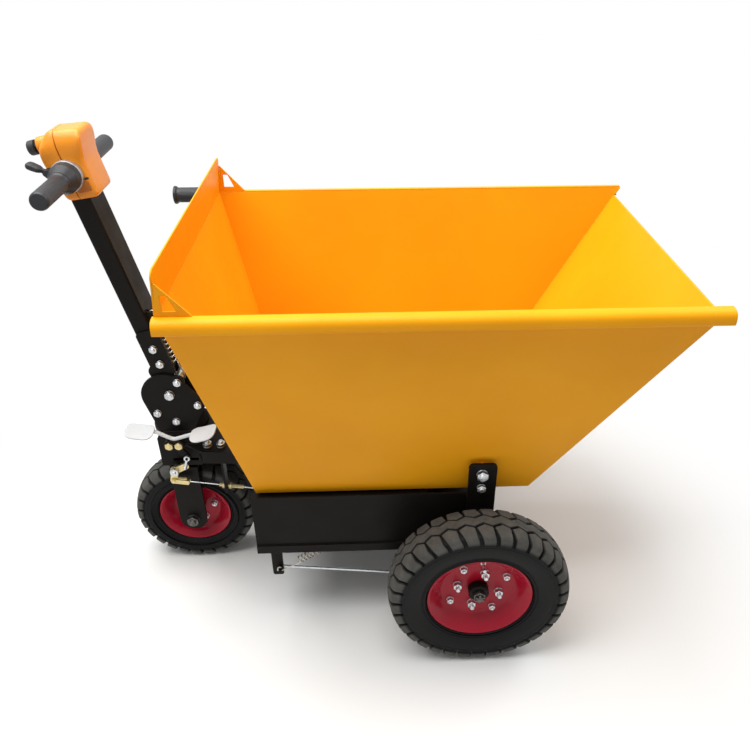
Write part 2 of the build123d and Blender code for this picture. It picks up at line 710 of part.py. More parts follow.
# Driven front axle: tube with gear case and reducer, motor, brake back plates
AXLE = (FRONT_AXLE_X, TYRE_R)
MOTOR = (MOTOR_X, MOTOR_Z)
with BuildPart() as axle_housing:
    with BuildSketch(Plane(origin=(AXLE[0], 0, AXLE[1]), x_dir=(0, 1, 0), z_dir=(1, 0, 0))):
        with BuildLine():
            Polyline(
                (-AXLE_END, 0),
                (-AXLE_END, AXLE_TUBE_R),
                (-GEARCASE_HALF - GEARCASE_R, AXLE_TUBE_R),
                (-GEARCASE_HALF, GEARCASE_R),
                (GEARCASE_HALF, GEARCASE_R),
                (GEARCASE_HALF + GEARCASE_R, AXLE_TUBE_R),
                (AXLE_END, AXLE_TUBE_R),
                (AXLE_END, 0),
                close=True,
            )
        make_face()
    revolve(axis=Axis((AXLE[0], 0, AXLE[1]), (0, 1, 0)))
    with BuildSketch(side_view(GEARCASE_HALF)):
        with Locations(AXLE):
            Circle(GEARCASE_R)
        with Locations(MOTOR):
            Circle(MOTOR_R)
        make_hull()
    extrude(amount=REDUCER_W)
    for side in (1, -1):
        bore = sorted((side * (AXLE_END - HALF_SHAFT_IN - GAP), side * AXLE_END))
        round_y(AXLE, bore, HALF_SHAFT_R + RUN, mode=Mode.SUBTRACT)
save(axle_housing, "axle_housing")

MOTOR_END = GEARCASE_HALF - REDUCER_W
with BuildPart() as drive_motor:
    round_y(MOTOR, (MOTOR_END - MOTOR_L, MOTOR_END), MOTOR_R)
    cap = drive_motor.edges().filter_by(GeomType.CIRCLE).sort_by(Axis.Y)[0]
    fillet(cap, MOTOR_ROUND)
    with Locations((MOTOR[0], MOTOR_END - MOTOR_L / 2, MOTOR[1] + MOTOR_R)):
        Box(*TERMINAL)
save(drive_motor, "drive_motor")

CAM = (CAM_X, CAM_Z)
with BuildPart() as brake_backplates:
    for side in (1, -1):
        face = sorted((side * AXLE_END, side * (AXLE_END + BACKPLATE_T)))
        round_y(AXLE, face, BACKPLATE_R)
        round_y(AXLE, face, HALF_SHAFT_R + LOOSE, mode=Mode.SUBTRACT)
        round_y(CAM, face, CAM_R + RUN, mode=Mode.SUBTRACT)
save(brake_backplates, "brake_backplates")

# Hopper: tapered tub, rolled side rims, rear guard with gussets, lift handle
TUB_H = MOUTH_Z - FLOOR_Z
WALL_REAR = (MOUTH_REAR - FLOOR_REAR) / TUB_H
WALL_FRONT = (MOUTH_FRONT - FLOOR_FRONT) / TUB_H
WALL_SIDE = (MOUTH_HALF - FLOOR_HALF) / TUB_H


def tub_section(z, inset):
    """Rectangle of the tub at height z, drawn in by inset: its limits along X and its half width in Y."""
    up = z - FLOOR_Z
    rear = FLOOR_REAR + WALL_REAR * up + inset * math.hypot(1, WALL_REAR)
    front = FLOOR_FRONT + WALL_FRONT * up - inset * math.hypot(1, WALL_FRONT)
    half = FLOOR_HALF + WALL_SIDE * up - inset * math.hypot(1, WALL_SIDE)
    return rear, front, half


with BuildPart() as hopper_tub:
    for z in (FLOOR_Z, MOUTH_Z):
        rear, front, half = tub_section(z, 0)
        with BuildSketch(Plane.XY.offset(z)):
            with Locations(((rear + front) / 2, 0)):
                Rectangle(front - rear, 2 * half)
    loft()
    boss_out = BRACKET_IN - GAP
    round_y((TIP_X, TIP_Z), (-boss_out, boss_out), TIP_BOSS_R)
    for z in (FLOOR_Z + SHEET, MOUTH_Z + SHEET):
        rear, front, half = tub_section(z, SHEET)
        with BuildSketch(Plane.XY.offset(z)):
            with Locations(((rear + front) / 2, 0)):
                Rectangle(front - rear, 2 * half)
    loft(mode=Mode.SUBTRACT)
    for side in (1, -1):
        bore = sorted((side * (TIP_BOLT_IN - GAP), side * BRACKET_IN))
        round_y((TIP_X, TIP_Z), bore, TIP_BOLT_R + RUN, mode=Mode.SUBTRACT)
    lip_front, lip_half = tub_section(FRONT_LIP_Z, SHEET)[1:]
    lip_x = (lip_front - SHEET, MOUTH_FRONT + CUT)
    block(lip_x, (-lip_half, lip_half), (FRONT_LIP_Z, MOUTH_Z + SHEET), Mode.SUBTRACT)
save(hopper_tub, "hopper_tub")

RIM_IN = tub_section(MOUTH_Z, SHEET)[2]
RIM_TOP = MOUTH_Z + SHEET
with BuildPart() as rim_rails:
    for side in (1, -1):
        with BuildSketch(Plane(origin=(RIM_REAR, 0, 0), x_dir=(0, side, 0), z_dir=(side, 0, 0))):
            with BuildLine():
                FilletPolyline(
                    (RIM_IN, RIM_TOP),
                    (RIM_OUT, RIM_TOP),
                    (RIM_OUT, RIM_TOP - RIM_DROP),
                    (RIM_OUT - RIM_RETURN, RIM_TOP - RIM_DROP),
                    radius=(RIM_BEND, RIM_CURL),
                )
                offset(amount=SHEET, side=Side.RIGHT)
            make_face()
        extrude(amount=side * (RIM_FRONT - RIM_REAR))
save(rim_rails, "rim_rails")

GUARD_REAR = MOUTH_REAR
with BuildPart() as rear_guard:
    with BuildSketch(side_view(0)):
        Polygon(
            (GUARD_REAR, MOUTH_Z),
            (GUARD_REAR + SHEET, MOUTH_Z),
            (GUARD_REAR + SHEET + GUARD_LEAN, GUARD_TOP),
            (GUARD_REAR + GUARD_LEAN, GUARD_TOP),
        )
    extrude(amount=MOUTH_HALF, both=True)
    corners = rear_guard.edges().filter_by(Axis.X, tolerance=20).group_by(Axis.Z)[-1]
    fillet(corners, GUARD_CORNER)
    for side in (1, -1):
        notch = sorted((side * (RIM_IN - GAP), side * (MOUTH_HALF + CUT)))
        notch_x = (GUARD_REAR - CUT, GUARD_REAR + GUARD_LEAN + SHEET)
        block(notch_x, notch, (MOUTH_Z, RIM_TOP), mode=Mode.SUBTRACT)
        foot = GUARD_REAR + SHEET
        with BuildSketch(side_view(max(side * MOUTH_HALF, side * (MOUTH_HALF - SHEET)))):
            Polygon(
                (foot, RIM_TOP),
                (foot + GUSSET_FOOT, RIM_TOP),
                (foot + GUARD_LEAN, GUARD_TOP - GUSSET_DROP),
                (foot + GUARD_LEAN - CUT, GUARD_TOP - GUSSET_DROP),
            )
            hole_x = foot + GUSSET_HOLE[0]
            hole_z = RIM_TOP + GUSSET_HOLE[1]
            Polygon(
                (hole_x, hole_z),
                (hole_x + GUSSET_HOLE_SIZE[0], hole_z),
                (hole_x + GUSSET_HOLE_SIZE[1], hole_z + GUSSET_HOLE_SIZE[2]),
                (hole_x, hole_z + GUSSET_HOLE_SIZE[2]),
                mode=Mode.SUBTRACT,
            )
        extrude(amount=SHEET)
save(rear_guard, "rear_guard")

GRIP_BASE = GUARD_REAR + GUARD_LEAN * (GRIP_Z - MOUTH_Z) / (GUARD_TOP - MOUTH_Z)
GRIP_END = GRIP_BASE - GRIP_L
with BuildPart() as lift_handle:
    with BuildSketch(Plane(origin=(GRIP_END + GRIP_END_T, GRIP_Y, GRIP_Z), z_dir=(1, 0, 0))):
        Circle(STUB_R)
    extrude(amount=GRIP_L - GRIP_END_T)
    with BuildSketch(Plane(origin=(GRIP_BASE - STUB_PLATE_T, GRIP_Y, GRIP_Z), z_dir=(1, 0, 0))):
        Circle(STUB_PLATE_R)
    extrude(amount=STUB_PLATE_T)
    with BuildSketch(side_view(GRIP_Y + STUB_PLATE_R)):
        Polygon(
            (GUARD_REAR, MOUTH_Z),
            (GUARD_REAR + 3 * SHEET, MOUTH_Z),
            (GUARD_REAR + GUARD_LEAN + 3 * SHEET, GUARD_TOP),
            (GUARD_REAR + GUARD_LEAN, GUARD_TOP),
        )
    extrude(amount=2 * STUB_PLATE_R, mode=Mode.SUBTRACT)
save(lift_handle, "lift_handle")

with BuildPart() as lift_grip:
    with BuildSketch(Plane(origin=(GRIP_END, GRIP_Y, GRIP_Z), x_dir=(1, 0, 0), z_dir=(0, 0, 1))):
        with BuildLine():
            Polyline(
                (0, 0),
                (0, GRIP_FLANGE_R),
                (GRIP_FLANGE_T, GRIP_FLANGE_R),
                (GRIP_FLANGE_T, GRIP_R),
                (GRIP_L - STUB_PLATE_T - GAP, GRIP_R),
                (GRIP_L - STUB_PLATE_T - GAP, STUB_R + RUN),
                (GRIP_END_T, STUB_R + RUN),
                (GRIP_END_T, 0),
                close=True,
            )
        make_face()
    revolve(axis=Axis((GRIP_END, GRIP_Y, GRIP_Z), (1, 0, 0)))
save(lift_grip, "lift_grip")

# Steered rear end: fork, kingpin, axle bolt, tiller base
REAR_AXLE = (STEER_X, REAR_TYRE_R)
LEG_OUT = LEG_IN + LEG_T
with BuildPart() as fork:
    for side in (1, -1):
        with BuildSketch(side_view(max(side * LEG_IN, side * LEG_OUT))):
            with Locations(REAR_AXLE):
                Circle(LEG_HALF)
            with Locations((STEER_X, CROWN_Z + CROWN_T / 2)):
                Rectangle(2 * LEG_HALF, CROWN_T)
            make_hull()
            with Locations(REAR_AXLE):
                Circle(REAR_BOLT_SHAFT_R + RUN, mode=Mode.SUBTRACT)
        extrude(amount=LEG_T)
    block((STEER_X - LEG_HALF, STEER_X + LEG_HALF), (-LEG_OUT, LEG_OUT), (CROWN_Z, CROWN_Z + CROWN_T))
save(fork, "fork")

CROWN_TOP = CROWN_Z + CROWN_T
TABLE_Z = BEARING_TOP + GAP
TABLE_TOP = TABLE_Z + TABLE_T
with BuildPart() as kingpin:
    with BuildSketch(Plane.XY.offset(CROWN_TOP)):
        with Locations((STEER_X, 0)):
            Circle(BEARING_FLANGE_R)
    extrude(amount=BOX_Z - BEARING_FLANGE_T - GAP - CROWN_TOP)
    with BuildSketch(Plane.XY.offset(CROWN_TOP)):
        with Locations((STEER_X, 0)):
            Circle(KINGPIN_R)
    extrude(amount=TABLE_TOP + KINGPIN_NUT_H + KINGPIN_PROUD - CROWN_TOP)
    with BuildSketch(Plane.XY.offset(TABLE_TOP)):
        with Locations((STEER_X, 0)):
            RegularPolygon(KINGPIN_NUT / 2, 6, major_radius=False)
    extrude(amount=KINGPIN_NUT_H)
save(kingpin, "kingpin")

REAR_HUB_HALF = REAR_TYRE_W / 2
with BuildPart() as rear_axle:
    through_bolt(REAR_AXLE, LEG_OUT, REAR_BOLT_SHAFT_R, REAR_NUT, REAR_NUT_H)
    for side in (1, -1):
        round_y(REAR_AXLE, sorted((side * (REAR_HUB_HALF + GAP), side * LEG_IN)), REAR_SPACER_R)
save(rear_axle, "rear_axle")

CHEEK_OUT = CHEEK_IN + CHEEK_T
PIVOT = (STEER_X, PIVOT_Z)
with BuildPart() as tiller_base:
    with BuildSketch(Plane.XY.offset(TABLE_Z)):
        with Locations((STEER_X, 0)):
            Circle(TABLE_R)
            Circle(KINGPIN_R + RUN, mode=Mode.SUBTRACT)
    extrude(amount=TABLE_T)
    for side in (1, -1):
        with BuildSketch(side_view(max(side * CHEEK_IN, side * CHEEK_OUT))):
            with Locations(CHEEK_DISC):
                Circle(CHEEK_DISC_R)
            with Locations(EAR_BOLT):
                Circle(CHEEK_EAR_R)
            with Locations((STEER_X, TABLE_TOP + CHEEK_FOOT_T / 2)):
                Rectangle(CHEEK_FOOT, CHEEK_FOOT_T)
            make_hull()
            with Locations(STOP_BOLT):
                Circle(CHEEK_EAR_R)
            with Locations(STOP_BOLT, *CHEEK_BOLTS):
                Circle(CHEEK_BOLT_R + RUN, mode=Mode.SUBTRACT)
            with Locations(PIVOT):
                Circle(PIVOT_R + RUN, mode=Mode.SUBTRACT)
        extrude(amount=CHEEK_T)
save(tiller_base, "tiller_base")

with BuildPart() as base_bolts:
    for at in (STOP_BOLT, *CHEEK_BOLTS):
        through_bolt(at, CHEEK_OUT, CHEEK_BOLT_R, CHEEK_NUT, CHEEK_NUT_H)
        round_y(at, (-CHEEK_IN, CHEEK_IN), CHEEK_SPACER_R)
    through_bolt(PIVOT, CHEEK_OUT, PIVOT_R, PIVOT_NUT, PIVOT_NUT_H)
save(base_bolts, "base_bolts")

# Tiller: tube, yoke and its bolts
YOKE_IN = TUBE_Y / 2 + YOKE_SIDE
YOKE_OUT = YOKE_IN + YOKE_T
BAR = on_tiller(BAR_S, BAR_T)
LUG = on_tiller(SPRING_LUG_S, SPRING_LUG_T)
with BuildPart() as tiller_tube:
    with BuildSketch(tiller_section(TUBE_FOOT)):
        RectangleRounded(TUBE_T, TUBE_Y, TUBE_CORNER)
        Rectangle(TUBE_T - 2 * TUBE_WALL, TUBE_Y - 2 * TUBE_WALL, mode=Mode.SUBTRACT)
    extrude(amount=TUBE_TOP - TUBE_FOOT)
    for step in (-LUG_HALF, LUG_HALF - LUG_PLATE):
        with BuildSketch(tiller_side(SPRING_Y + step + LUG_PLATE)):
            with Locations((SPRING_LUG_T, SPRING_LUG_S)):
                Circle(RETURN_EAR_R)
            with Locations((TUBE_T / 2 - TUBE_WALL / 2, SPRING_LUG_S)):
                Rectangle(TUBE_WALL, LUG_FOOT)
            make_hull()
        extrude(amount=LUG_PLATE)
    round_y(LUG, (SPRING_Y - LUG_HALF, SPRING_Y + LUG_HALF), SPRING_PIN_R)
    for s in YOKE_BOLTS:
        round_y(on_tiller(s, YOKE_BOLT_T), (-TUBE_Y, TUBE_Y), YOKE_BOLT_R + RUN, mode=Mode.SUBTRACT)
    round_y(BAR, (-TUBE_Y, TUBE_Y), BAR_R + RUN, mode=Mode.SUBTRACT)
save(tiller_tube, "tiller_tube")

with BuildPart() as tiller_yoke:
    for side in (1, -1):
        with BuildSketch(tiller_side(max(side * YOKE_IN, side * YOKE_OUT))):
            Circle(YOKE_EYE_R)
            with Locations(YOKE_HEEL):
                Circle(YOKE_HEEL_R)
            make_hull()
            with Locations(((YOKE_FRONT - YOKE_BACK) / 2, (YOKE_TOP + YOKE_LOW) / 2)):
                RectangleRounded(YOKE_FRONT + YOKE_BACK, YOKE_TOP - YOKE_LOW, YOKE_CORNER)
            with Locations(*[(YOKE_BOLT_T, s) for s in YOKE_BOLTS]):
                Circle(YOKE_BOLT_R + RUN, mode=Mode.SUBTRACT)
        extrude(amount=YOKE_T)
    round_y(PIVOT, (-YOKE_IN, YOKE_IN), YOKE_BUSH_R)
    round_y(PIVOT, (-YOKE_OUT, YOKE_OUT), PIVOT_R + RUN, mode=Mode.SUBTRACT)
save(tiller_yoke, "tiller_yoke")

with BuildPart() as yoke_bolts:
    for s in YOKE_BOLTS:
        through_bolt(on_tiller(s, YOKE_BOLT_T), YOKE_OUT, YOKE_BOLT_R, CHEEK_NUT, CHEEK_NUT_H)
save(yoke_bolts, "yoke_bolts")

# Tiller head in two shells, handlebar, grips and controls
LEVER_DIR = (math.sin(math.radians(LEVER_ANGLE)), -math.cos(math.radians(LEVER_ANGLE)))
LEVER_PIN = (BAR_S + LEVER_REACH * LEVER_DIR[0], BAR_T + LEVER_REACH * LEVER_DIR[1])
with BuildPart() as head:
    with BuildSketch(tiller_side(0)):
        with BuildLine():
            FilletPolyline(*HEAD_OUTLINE, radius=HEAD_ROUND, close=True)
        make_face()
    extrude(amount=HEAD_HALF, both=True)
    across_tiller = Plane(origin=(STEER_X, 0, PIVOT_Z), x_dir=(0, 1, 0), z_dir=TILLER_OUT)
    for side in (1, -1):
        with BuildSketch(across_tiller):
            Polygon(
                (side * HEAD_HALF, HEAD_SHOULDER_S),
                (side * HEAD_SHOULDER_Y, HEAD_SHOULDER_TOP),
                (side * HEAD_SHOULDER_Y, HEAD_TOP_S),
                (side * (HEAD_HALF + CUT), HEAD_TOP_S),
                (side * (HEAD_HALF + CUT), HEAD_SHOULDER_S),
            )
        extrude(amount=HEAD_TOP_S, both=True, mode=Mode.SUBTRACT)
    with BuildSketch(tiller_section(HEAD_OUTLINE[0][1] - CUT)):
        Rectangle(TUBE_T + 2 * GAP, TUBE_Y + 2 * GAP)
    extrude(amount=TUBE_TOP + GAP - HEAD_OUTLINE[0][1] + CUT, mode=Mode.SUBTRACT)
    round_y(BAR, (-HEAD_HALF, HEAD_HALF), BAR_R + RUN, mode=Mode.SUBTRACT)
    with BuildSketch(tiller_side(POCKET_DEPTH - HEAD_HALF)):
        with Locations(POCKET_SLOT):
            SlotOverall(*POCKET_SLOT_SIZE)
        with Locations(POCKET_BAY):
            RectangleRounded(*POCKET_BAY_SIZE, POCKET_CORNER)
    extrude(amount=POCKET_DEPTH, mode=Mode.SUBTRACT)

split_x, split_z = on_tiller(0, HEAD_SPLIT)
split_plane = Plane(origin=(split_x, 0, split_z), x_dir=(0, 1, 0), z_dir=TILLER_OUT)
button_x, button_z = on_tiller(BUTTON_S, BUTTON_BOSS_T)
button_plane = Plane(origin=(button_x, 0, button_z), x_dir=(0, 1, 0), z_dir=TILLER_OUT)
with BuildPart() as head_front:
    add(head.part)
    split(bisect_by=split_plane, keep=Keep.TOP)
save(head_front, "head_front")

with BuildPart() as head_rear:
    add(head.part)
    split(bisect_by=split_plane, keep=Keep.BOTTOM)
    with BuildSketch(button_plane):
        Circle(BUTTON_BOSS_R)
    extrude(amount=BUTTON_BOSS_L)
    with BuildSketch(button_plane):
        Circle(BUTTON_STEM_R + RUN)
    extrude(amount=BUTTON_STEM_END - BUTTON_BOSS_T + BUTTON_TRAVEL + LOOSE, mode=Mode.SUBTRACT)
save(head_rear, "head_rear")

with BuildPart() as belly_button:
    with BuildSketch(button_plane):
        Circle(BUTTON_STEM_R)
    extrude(amount=BUTTON_STEM_END - BUTTON_BOSS_T)
    with BuildSketch(button_plane.offset(-BUTTON_TRAVEL - GAP)):
        Circle(BUTTON_STEM_R)
    extrude(amount=BUTTON_TRAVEL + GAP)
    with BuildSketch(button_plane.offset(BUTTON_FACE_T - BUTTON_BOSS_T)):
        Circle(BUTTON_R)
    extrude(amount=BUTTON_BOSS_T - BUTTON_FACE_T - BUTTON_TRAVEL - GAP)
    fillet(belly_button.edges().filter_by(GeomType.CIRCLE).sort_by(Axis.X)[0], BUTTON_ROUND)
save(belly_button, "belly_button")

with BuildPart() as handlebar:
    round_y(BAR, (-BAR_HALF, BAR_HALF), BAR_R)
save(handlebar, "handlebar")


def bar_profile(side):
    """Plane whose own x runs out along the handlebar and whose y is the radius from it."""
    return Plane(origin=(BAR[0], 0, BAR[1]), x_dir=(0, side, 0), z_dir=(side, 0, 0))


BAR_AXIS = Axis((BAR[0], 0, BAR[1]), (0, 1, 0))
with BuildPart() as throttle_collar:
    with BuildSketch(bar_profile(-1)):
        Polygon(
            (COLLAR_IN, BAR_R + RUN),
            (COLLAR_IN, COLLAR_BIG_R),
            (COLLAR_STEP, COLLAR_BIG_R),
            (COLLAR_OUT, COLLAR_SMALL_R),
            (COLLAR_OUT, BAR_R + RUN),
        )
    revolve(axis=BAR_AXIS)
    for step in (-LEVER_W / 2 - GAP - LEVER_EAR_T, LEVER_W / 2 + GAP):
        with BuildSketch(tiller_side(-LEVER_Y + step + LEVER_EAR_T)):
            with Locations((LEVER_PIN[1], LEVER_PIN[0])):
                Circle(LEVER_HUB_R)
            with Locations((BAR_T, BAR_S)):
                Circle(COLLAR_SMALL_R)
            make_hull()
            with Locations((BAR_T, BAR_S)):
                Circle(LEVER_EAR_IN_R, mode=Mode.SUBTRACT)
        extrude(amount=LEVER_EAR_T)
    pin = on_tiller(*LEVER_PIN)
    pin_half = LEVER_W / 2 + GAP + LEVER_EAR_T
    round_y(pin, (-LEVER_Y - pin_half, -LEVER_Y + pin_half), LEVER_PIN_R)
    gullet_y = (-LEVER_Y - LEVER_W / 2 - GAP, -LEVER_Y + LEVER_W / 2 + GAP)
    with BuildSketch(tiller_side(gullet_y[1])):
        with Locations((LEVER_PIN[1], LEVER_PIN[0])):
            Circle(LEVER_HUB_R + GAP)
            Circle(LEVER_PIN_R, mode=Mode.SUBTRACT)
    extrude(amount=gullet_y[1] - gullet_y[0], mode=Mode.SUBTRACT)
save(throttle_collar, "throttle_collar")

with BuildPart() as thumb_lever:
    with BuildSketch(tiller_side(-LEVER_Y + LEVER_W / 2)):
        with Locations((LEVER_PIN[1], LEVER_PIN[0])):
            Circle(LEVER_HUB_R)
        with Locations((LEVER_TIP[1], LEVER_TIP[0])):
            Circle(LEVER_ARM_R)
        make_hull()
    extrude(amount=LEVER_W)
    with BuildSketch(tiller_side(-LEVER_Y + LEVER_PAD_W / 2)):
        with Locations((LEVER_TIP[1], LEVER_TIP[0])):
            Circle(LEVER_TIP_R)
        with Locations(((LEVER_TIP[1] + LEVER_PIN[1]) / 2, (LEVER_TIP[0] + LEVER_PIN[0]) / 2)):
            Circle(LEVER_ARM_R)
        make_hull()
    extrude(amount=LEVER_PAD_W)
    round_y(pin, gullet_y, LEVER_PIN_R + RUN, mode=Mode.SUBTRACT)
save(thumb_lever, "thumb_lever")

with BuildPart() as throttle_grip:
    with BuildSketch(bar_profile(-1)):
        Polygon(
            (COLLAR_OUT + GAP, BAR_R + RUN),
            (COLLAR_OUT + GAP, HAND_R),
            (HAND_HALF - HAND_FLARE_L, HAND_R),
            (HAND_HALF - HAND_FLARE_L / 2, HAND_FLARE_R),
            (HAND_HALF, HAND_FLARE_R),
            (HAND_HALF, 0),
            (BAR_HALF + GAP, 0),
            (BAR_HALF + GAP, BAR_R + RUN),
        )
    revolve(axis=BAR_AXIS)
save(throttle_grip, "throttle_grip")

with BuildPart() as fixed_grip:
    with BuildSketch(bar_profile(1)):
        Polygon(
            (COLLAR_IN, BAR_R + RUN),
            (COLLAR_IN, HAND_FLANGE_R),
            (COLLAR_IN + HAND_FLARE_L, HAND_FLANGE_R),
            (COLLAR_IN + HAND_FLARE_L, HAND_R),
            (HAND_HALF - HAND_FLARE_L, HAND_R),
            (HAND_HALF - HAND_FLARE_L / 2, HAND_FLARE_R),
            (HAND_HALF, HAND_FLARE_R),
            (HAND_HALF, 0),
            (BAR_HALF + GAP, 0),
            (BAR_HALF + GAP, BAR_R + RUN),
        )
    revolve(axis=BAR_AXIS)
save(fixed_grip, "fixed_grip")


# Springs: one wire that hooks over two pins, with its coil between them
def biarc(start, start_dir, end, end_dir):
    """Two arcs that join two points and are tangent to a direction at each."""
    chord = end - start
    both = start_dir + end_dir
    a = 2 * (start_dir.dot(end_dir) - 1)
    b = -2 * chord.dot(both)
    c = chord.dot(chord)
    if abs(a) < 1e-9:
        d = -c / b
    else:
        d = (-b - math.sqrt(b * b - 4 * a * c)) / (2 * a)
    joint = ((start + start_dir * d) + (end - end_dir * d)) * 0.5
    joint_dir = ((end - end_dir * d) - (start + start_dir * d)).normalized()
    TangentArc(start, joint, tangent=start_dir)
    TangentArc(joint, end, tangent=joint_dir)


def hooked_spring(low, high, low_r, high_r, wire, coil_r, turns, coil_part):
    """A spring from pin to pin in an upright plane; coil_part gives where its coil starts and ends."""
    low = Vector(*low)
    high = Vector(*high)
    along = (high - low).normalized()
    out = Vector(0, 1, 0)
    across = out.cross(along).normalized()
    length = (high - low).length
    wire_r = wire / 2
    hook_low = low_r + wire_r + GAP
    hook_high = high_r + wire_r + GAP
    coil_start = length * coil_part[0]
    coil_length = length * (coil_part[1] - coil_part[0])
    rise = coil_length / turns / (2 * math.pi)
    steps = 2 * turns

    def coil_point(k):
        turn = k * math.pi
        return low + along * (coil_start + rise * turn) + across * (coil_r * math.cos(turn)) + out * (
            coil_r * math.sin(turn)
        )

    def coil_dir(k):
        turn = k * math.pi
        flat = across * (-coil_r * math.sin(turn)) + out * (coil_r * math.cos(turn))
        return (along * rise + flat).normalized()

    with BuildPart() as spring:
        with BuildLine() as path:
            tip = low - across * hook_low
            Line(tip + along * wire, tip)
            TangentArc(tip, low - along * hook_low, tangent=along * -1)
            TangentArc(low - along * hook_low, low + across * hook_low, tangent=across)
            biarc(low + across * hook_low, along, coil_point(0), coil_dir(0))
            for k in range(steps):
                biarc(coil_point(k), coil_dir(k), coil_point(k + 1), coil_dir(k + 1))
            biarc(coil_point(steps), coil_dir(steps), high + across * hook_high, along)
            TangentArc(high + across * hook_high, high + along * hook_high, tangent=along)
            TangentArc(high + along * hook_high, high - across * hook_high, tangent=across * -1)
            Line(high - across * hook_high, high - across * hook_high - along * wire)
        with BuildSketch(Plane(origin=tip + along * wire, z_dir=along * -1)):
            Circle(wire_r)
        sweep(path=path.wires()[0])
    wire_line = path.wires()[0]
    count = 40 * steps
    spots = [wire_line @ (i / count) for i in range(count + 1)]
    reach = math.ceil(4 * wire * count / wire_line.length)
    nearest = min(
        (spots[i] - spots[j]).length for i in range(count + 1) for j in range(i + reach, count + 1)
    )
    print("spring wire length", round(wire_line.length, 1), "mm")
    print("least gap to itself", round(nearest - wire, 2), "mm")
    return spring


tiller_spring = hooked_spring(
    (STOP_BOLT[0], SPRING_Y, STOP_BOLT[1]),
    (LUG[0], SPRING_Y, LUG[1]),
    CHEEK_SPACER_R,
    SPRING_PIN_R,
    SPRING_WIRE,
    SPRING_COIL_R,
    SPRING_TURNS,
    SPRING_COIL_PART,
)
save(tiller_spring, "tiller_spring")

POST_PIN = (RELAY_X + RETURN_PIN_X, SPRING_PIN_Z)
with BuildPart() as return_springs:
    for side in (1, -1):
        spring_y = side * (POST_Y + RETURN_Y)
        one_spring = hooked_spring(
            (POST_PIN[0], spring_y, POST_PIN[1]),
            (RETURN_EYE_X, spring_y, RETURN_EYE_Z),
            SPRING_PIN_R,
            SPRING_PIN_R,
            RETURN_WIRE,
            RETURN_COIL_R,
            RETURN_TURNS,
            RETURN_COIL_PART,
        )
        add(one_spring.part)
save(return_springs, "return_springs")


# Foot pedal and its linkage
def arm_y(a, a_r, b, b_r, y):
    """A flat arm with rounded ends between two points (x, z), and between two values of Y."""
    with BuildSketch(side_view(max(y))) as outline:
        with Locations(a):
            Circle(a_r)
        with Locations(b):
            Circle(b_r)
        make_hull()
    extrude(outline.sketch, amount=abs(y[1] - y[0]))


BOX_FACE = -BOX_HALF_Y
LINK_IN = LINK_Y + LINK_T
LINK_PLATE = (LINK_Y, LINK_IN)
PEDAL_HUB_IN = BOX_FACE - PEDAL_SPACER_L - GAP
LINK_EYE = (LINK_Y - LINK_SIDE - LINK_T, LINK_Y - LINK_SIDE)
with BuildPart() as linkage_studs:
    round_y(PEDAL, (PEDAL_Y + PEDAL_BAR_T + GAP, BOX_FACE), PEDAL_STUD_R)
    round_y(PEDAL, (PEDAL_HUB_IN + GAP, BOX_FACE), PEDAL_SPACER_R)
    round_y(CRANK, (LINK_Y - CRANK_NUT_H, BOX_FACE), CRANK_STUD_R)
    round_y(CRANK, (LINK_IN + GAP, BOX_FACE), CRANK_BOSS_R)
    hex_y(CRANK, (LINK_Y - GAP, LINK_Y - GAP - CRANK_NUT_H), CRANK_NUT)
save(linkage_studs, "linkage_studs")

PEDAL_BAR = (PEDAL_Y, PEDAL_Y + PEDAL_BAR_T)
PEDAL_BOLTS = [(PEDAL[0] + k * PEDAL_BOLT_SPAN / 2, PEDAL[1] + PEDAL_BOLT_UP) for k in (-1, 1)]
with BuildPart() as brake_pedal:
    round_y(PEDAL, (PEDAL_Y, PEDAL_HUB_IN), PEDAL_HUB_R)
    arm_y(PEDAL_BOLTS[0], PEDAL_NUT, PEDAL_BOLTS[1], PEDAL_NUT, PEDAL_BAR)
    arm_y(PEDAL, PEDAL_HUB_R, PEDAL_APEX, PEDAL_BAR_H / 2, PEDAL_BAR)
    for inner, outer in (PEDAL_REAR, PEDAL_FRONT):
        arm_y(PEDAL_APEX, PEDAL_BAR_H / 2, inner, PEDAL_BAR_H / 2, PEDAL_BAR)
        run = (outer[0] - inner[0], 0, outer[1] - inner[1])
        middle = ((inner[0] + outer[0]) / 2, PEDAL_PAD_Y, (inner[1] + outer[1]) / 2)
        with BuildSketch(Plane(origin=middle, x_dir=run, z_dir=(-run[2], 0, run[0]))) as pad:
            RectangleRounded(math.hypot(run[0], run[2]), PEDAL_PAD_W, PEDAL_PAD_CORNER)
        extrude(pad.sketch, amount=PEDAL_PAD_T / 2, both=True)
    arm_y(PEDAL, PEDAL_LUG_R, RING, LINK_EYE_R, LINK_PLATE)
    round_y(RING, (LINK_EYE[0] - LINK_PROUD, LINK_IN), LINK_PIN_R)
    round_y(PEDAL, (PEDAL_Y + PEDAL_BAR_T, BOX_FACE), PEDAL_STUD_R + RUN, mode=Mode.SUBTRACT)
    for at in PEDAL_BOLTS:
        round_y(at, (PEDAL_Y, PEDAL_Y + PEDAL_BOLT_L), PEDAL_BOLT_R + RUN, mode=Mode.SUBTRACT)
save(brake_pedal, "brake_pedal")

with BuildPart() as pedal_bolts:
    for at in PEDAL_BOLTS:
        round_y(at, (PEDAL_Y, PEDAL_Y + PEDAL_BOLT_L), PEDAL_BOLT_R)
        hex_y(at, (PEDAL_Y - PEDAL_BOLT_H, PEDAL_Y), PEDAL_NUT)
save(pedal_bolts, "pedal_bolts")

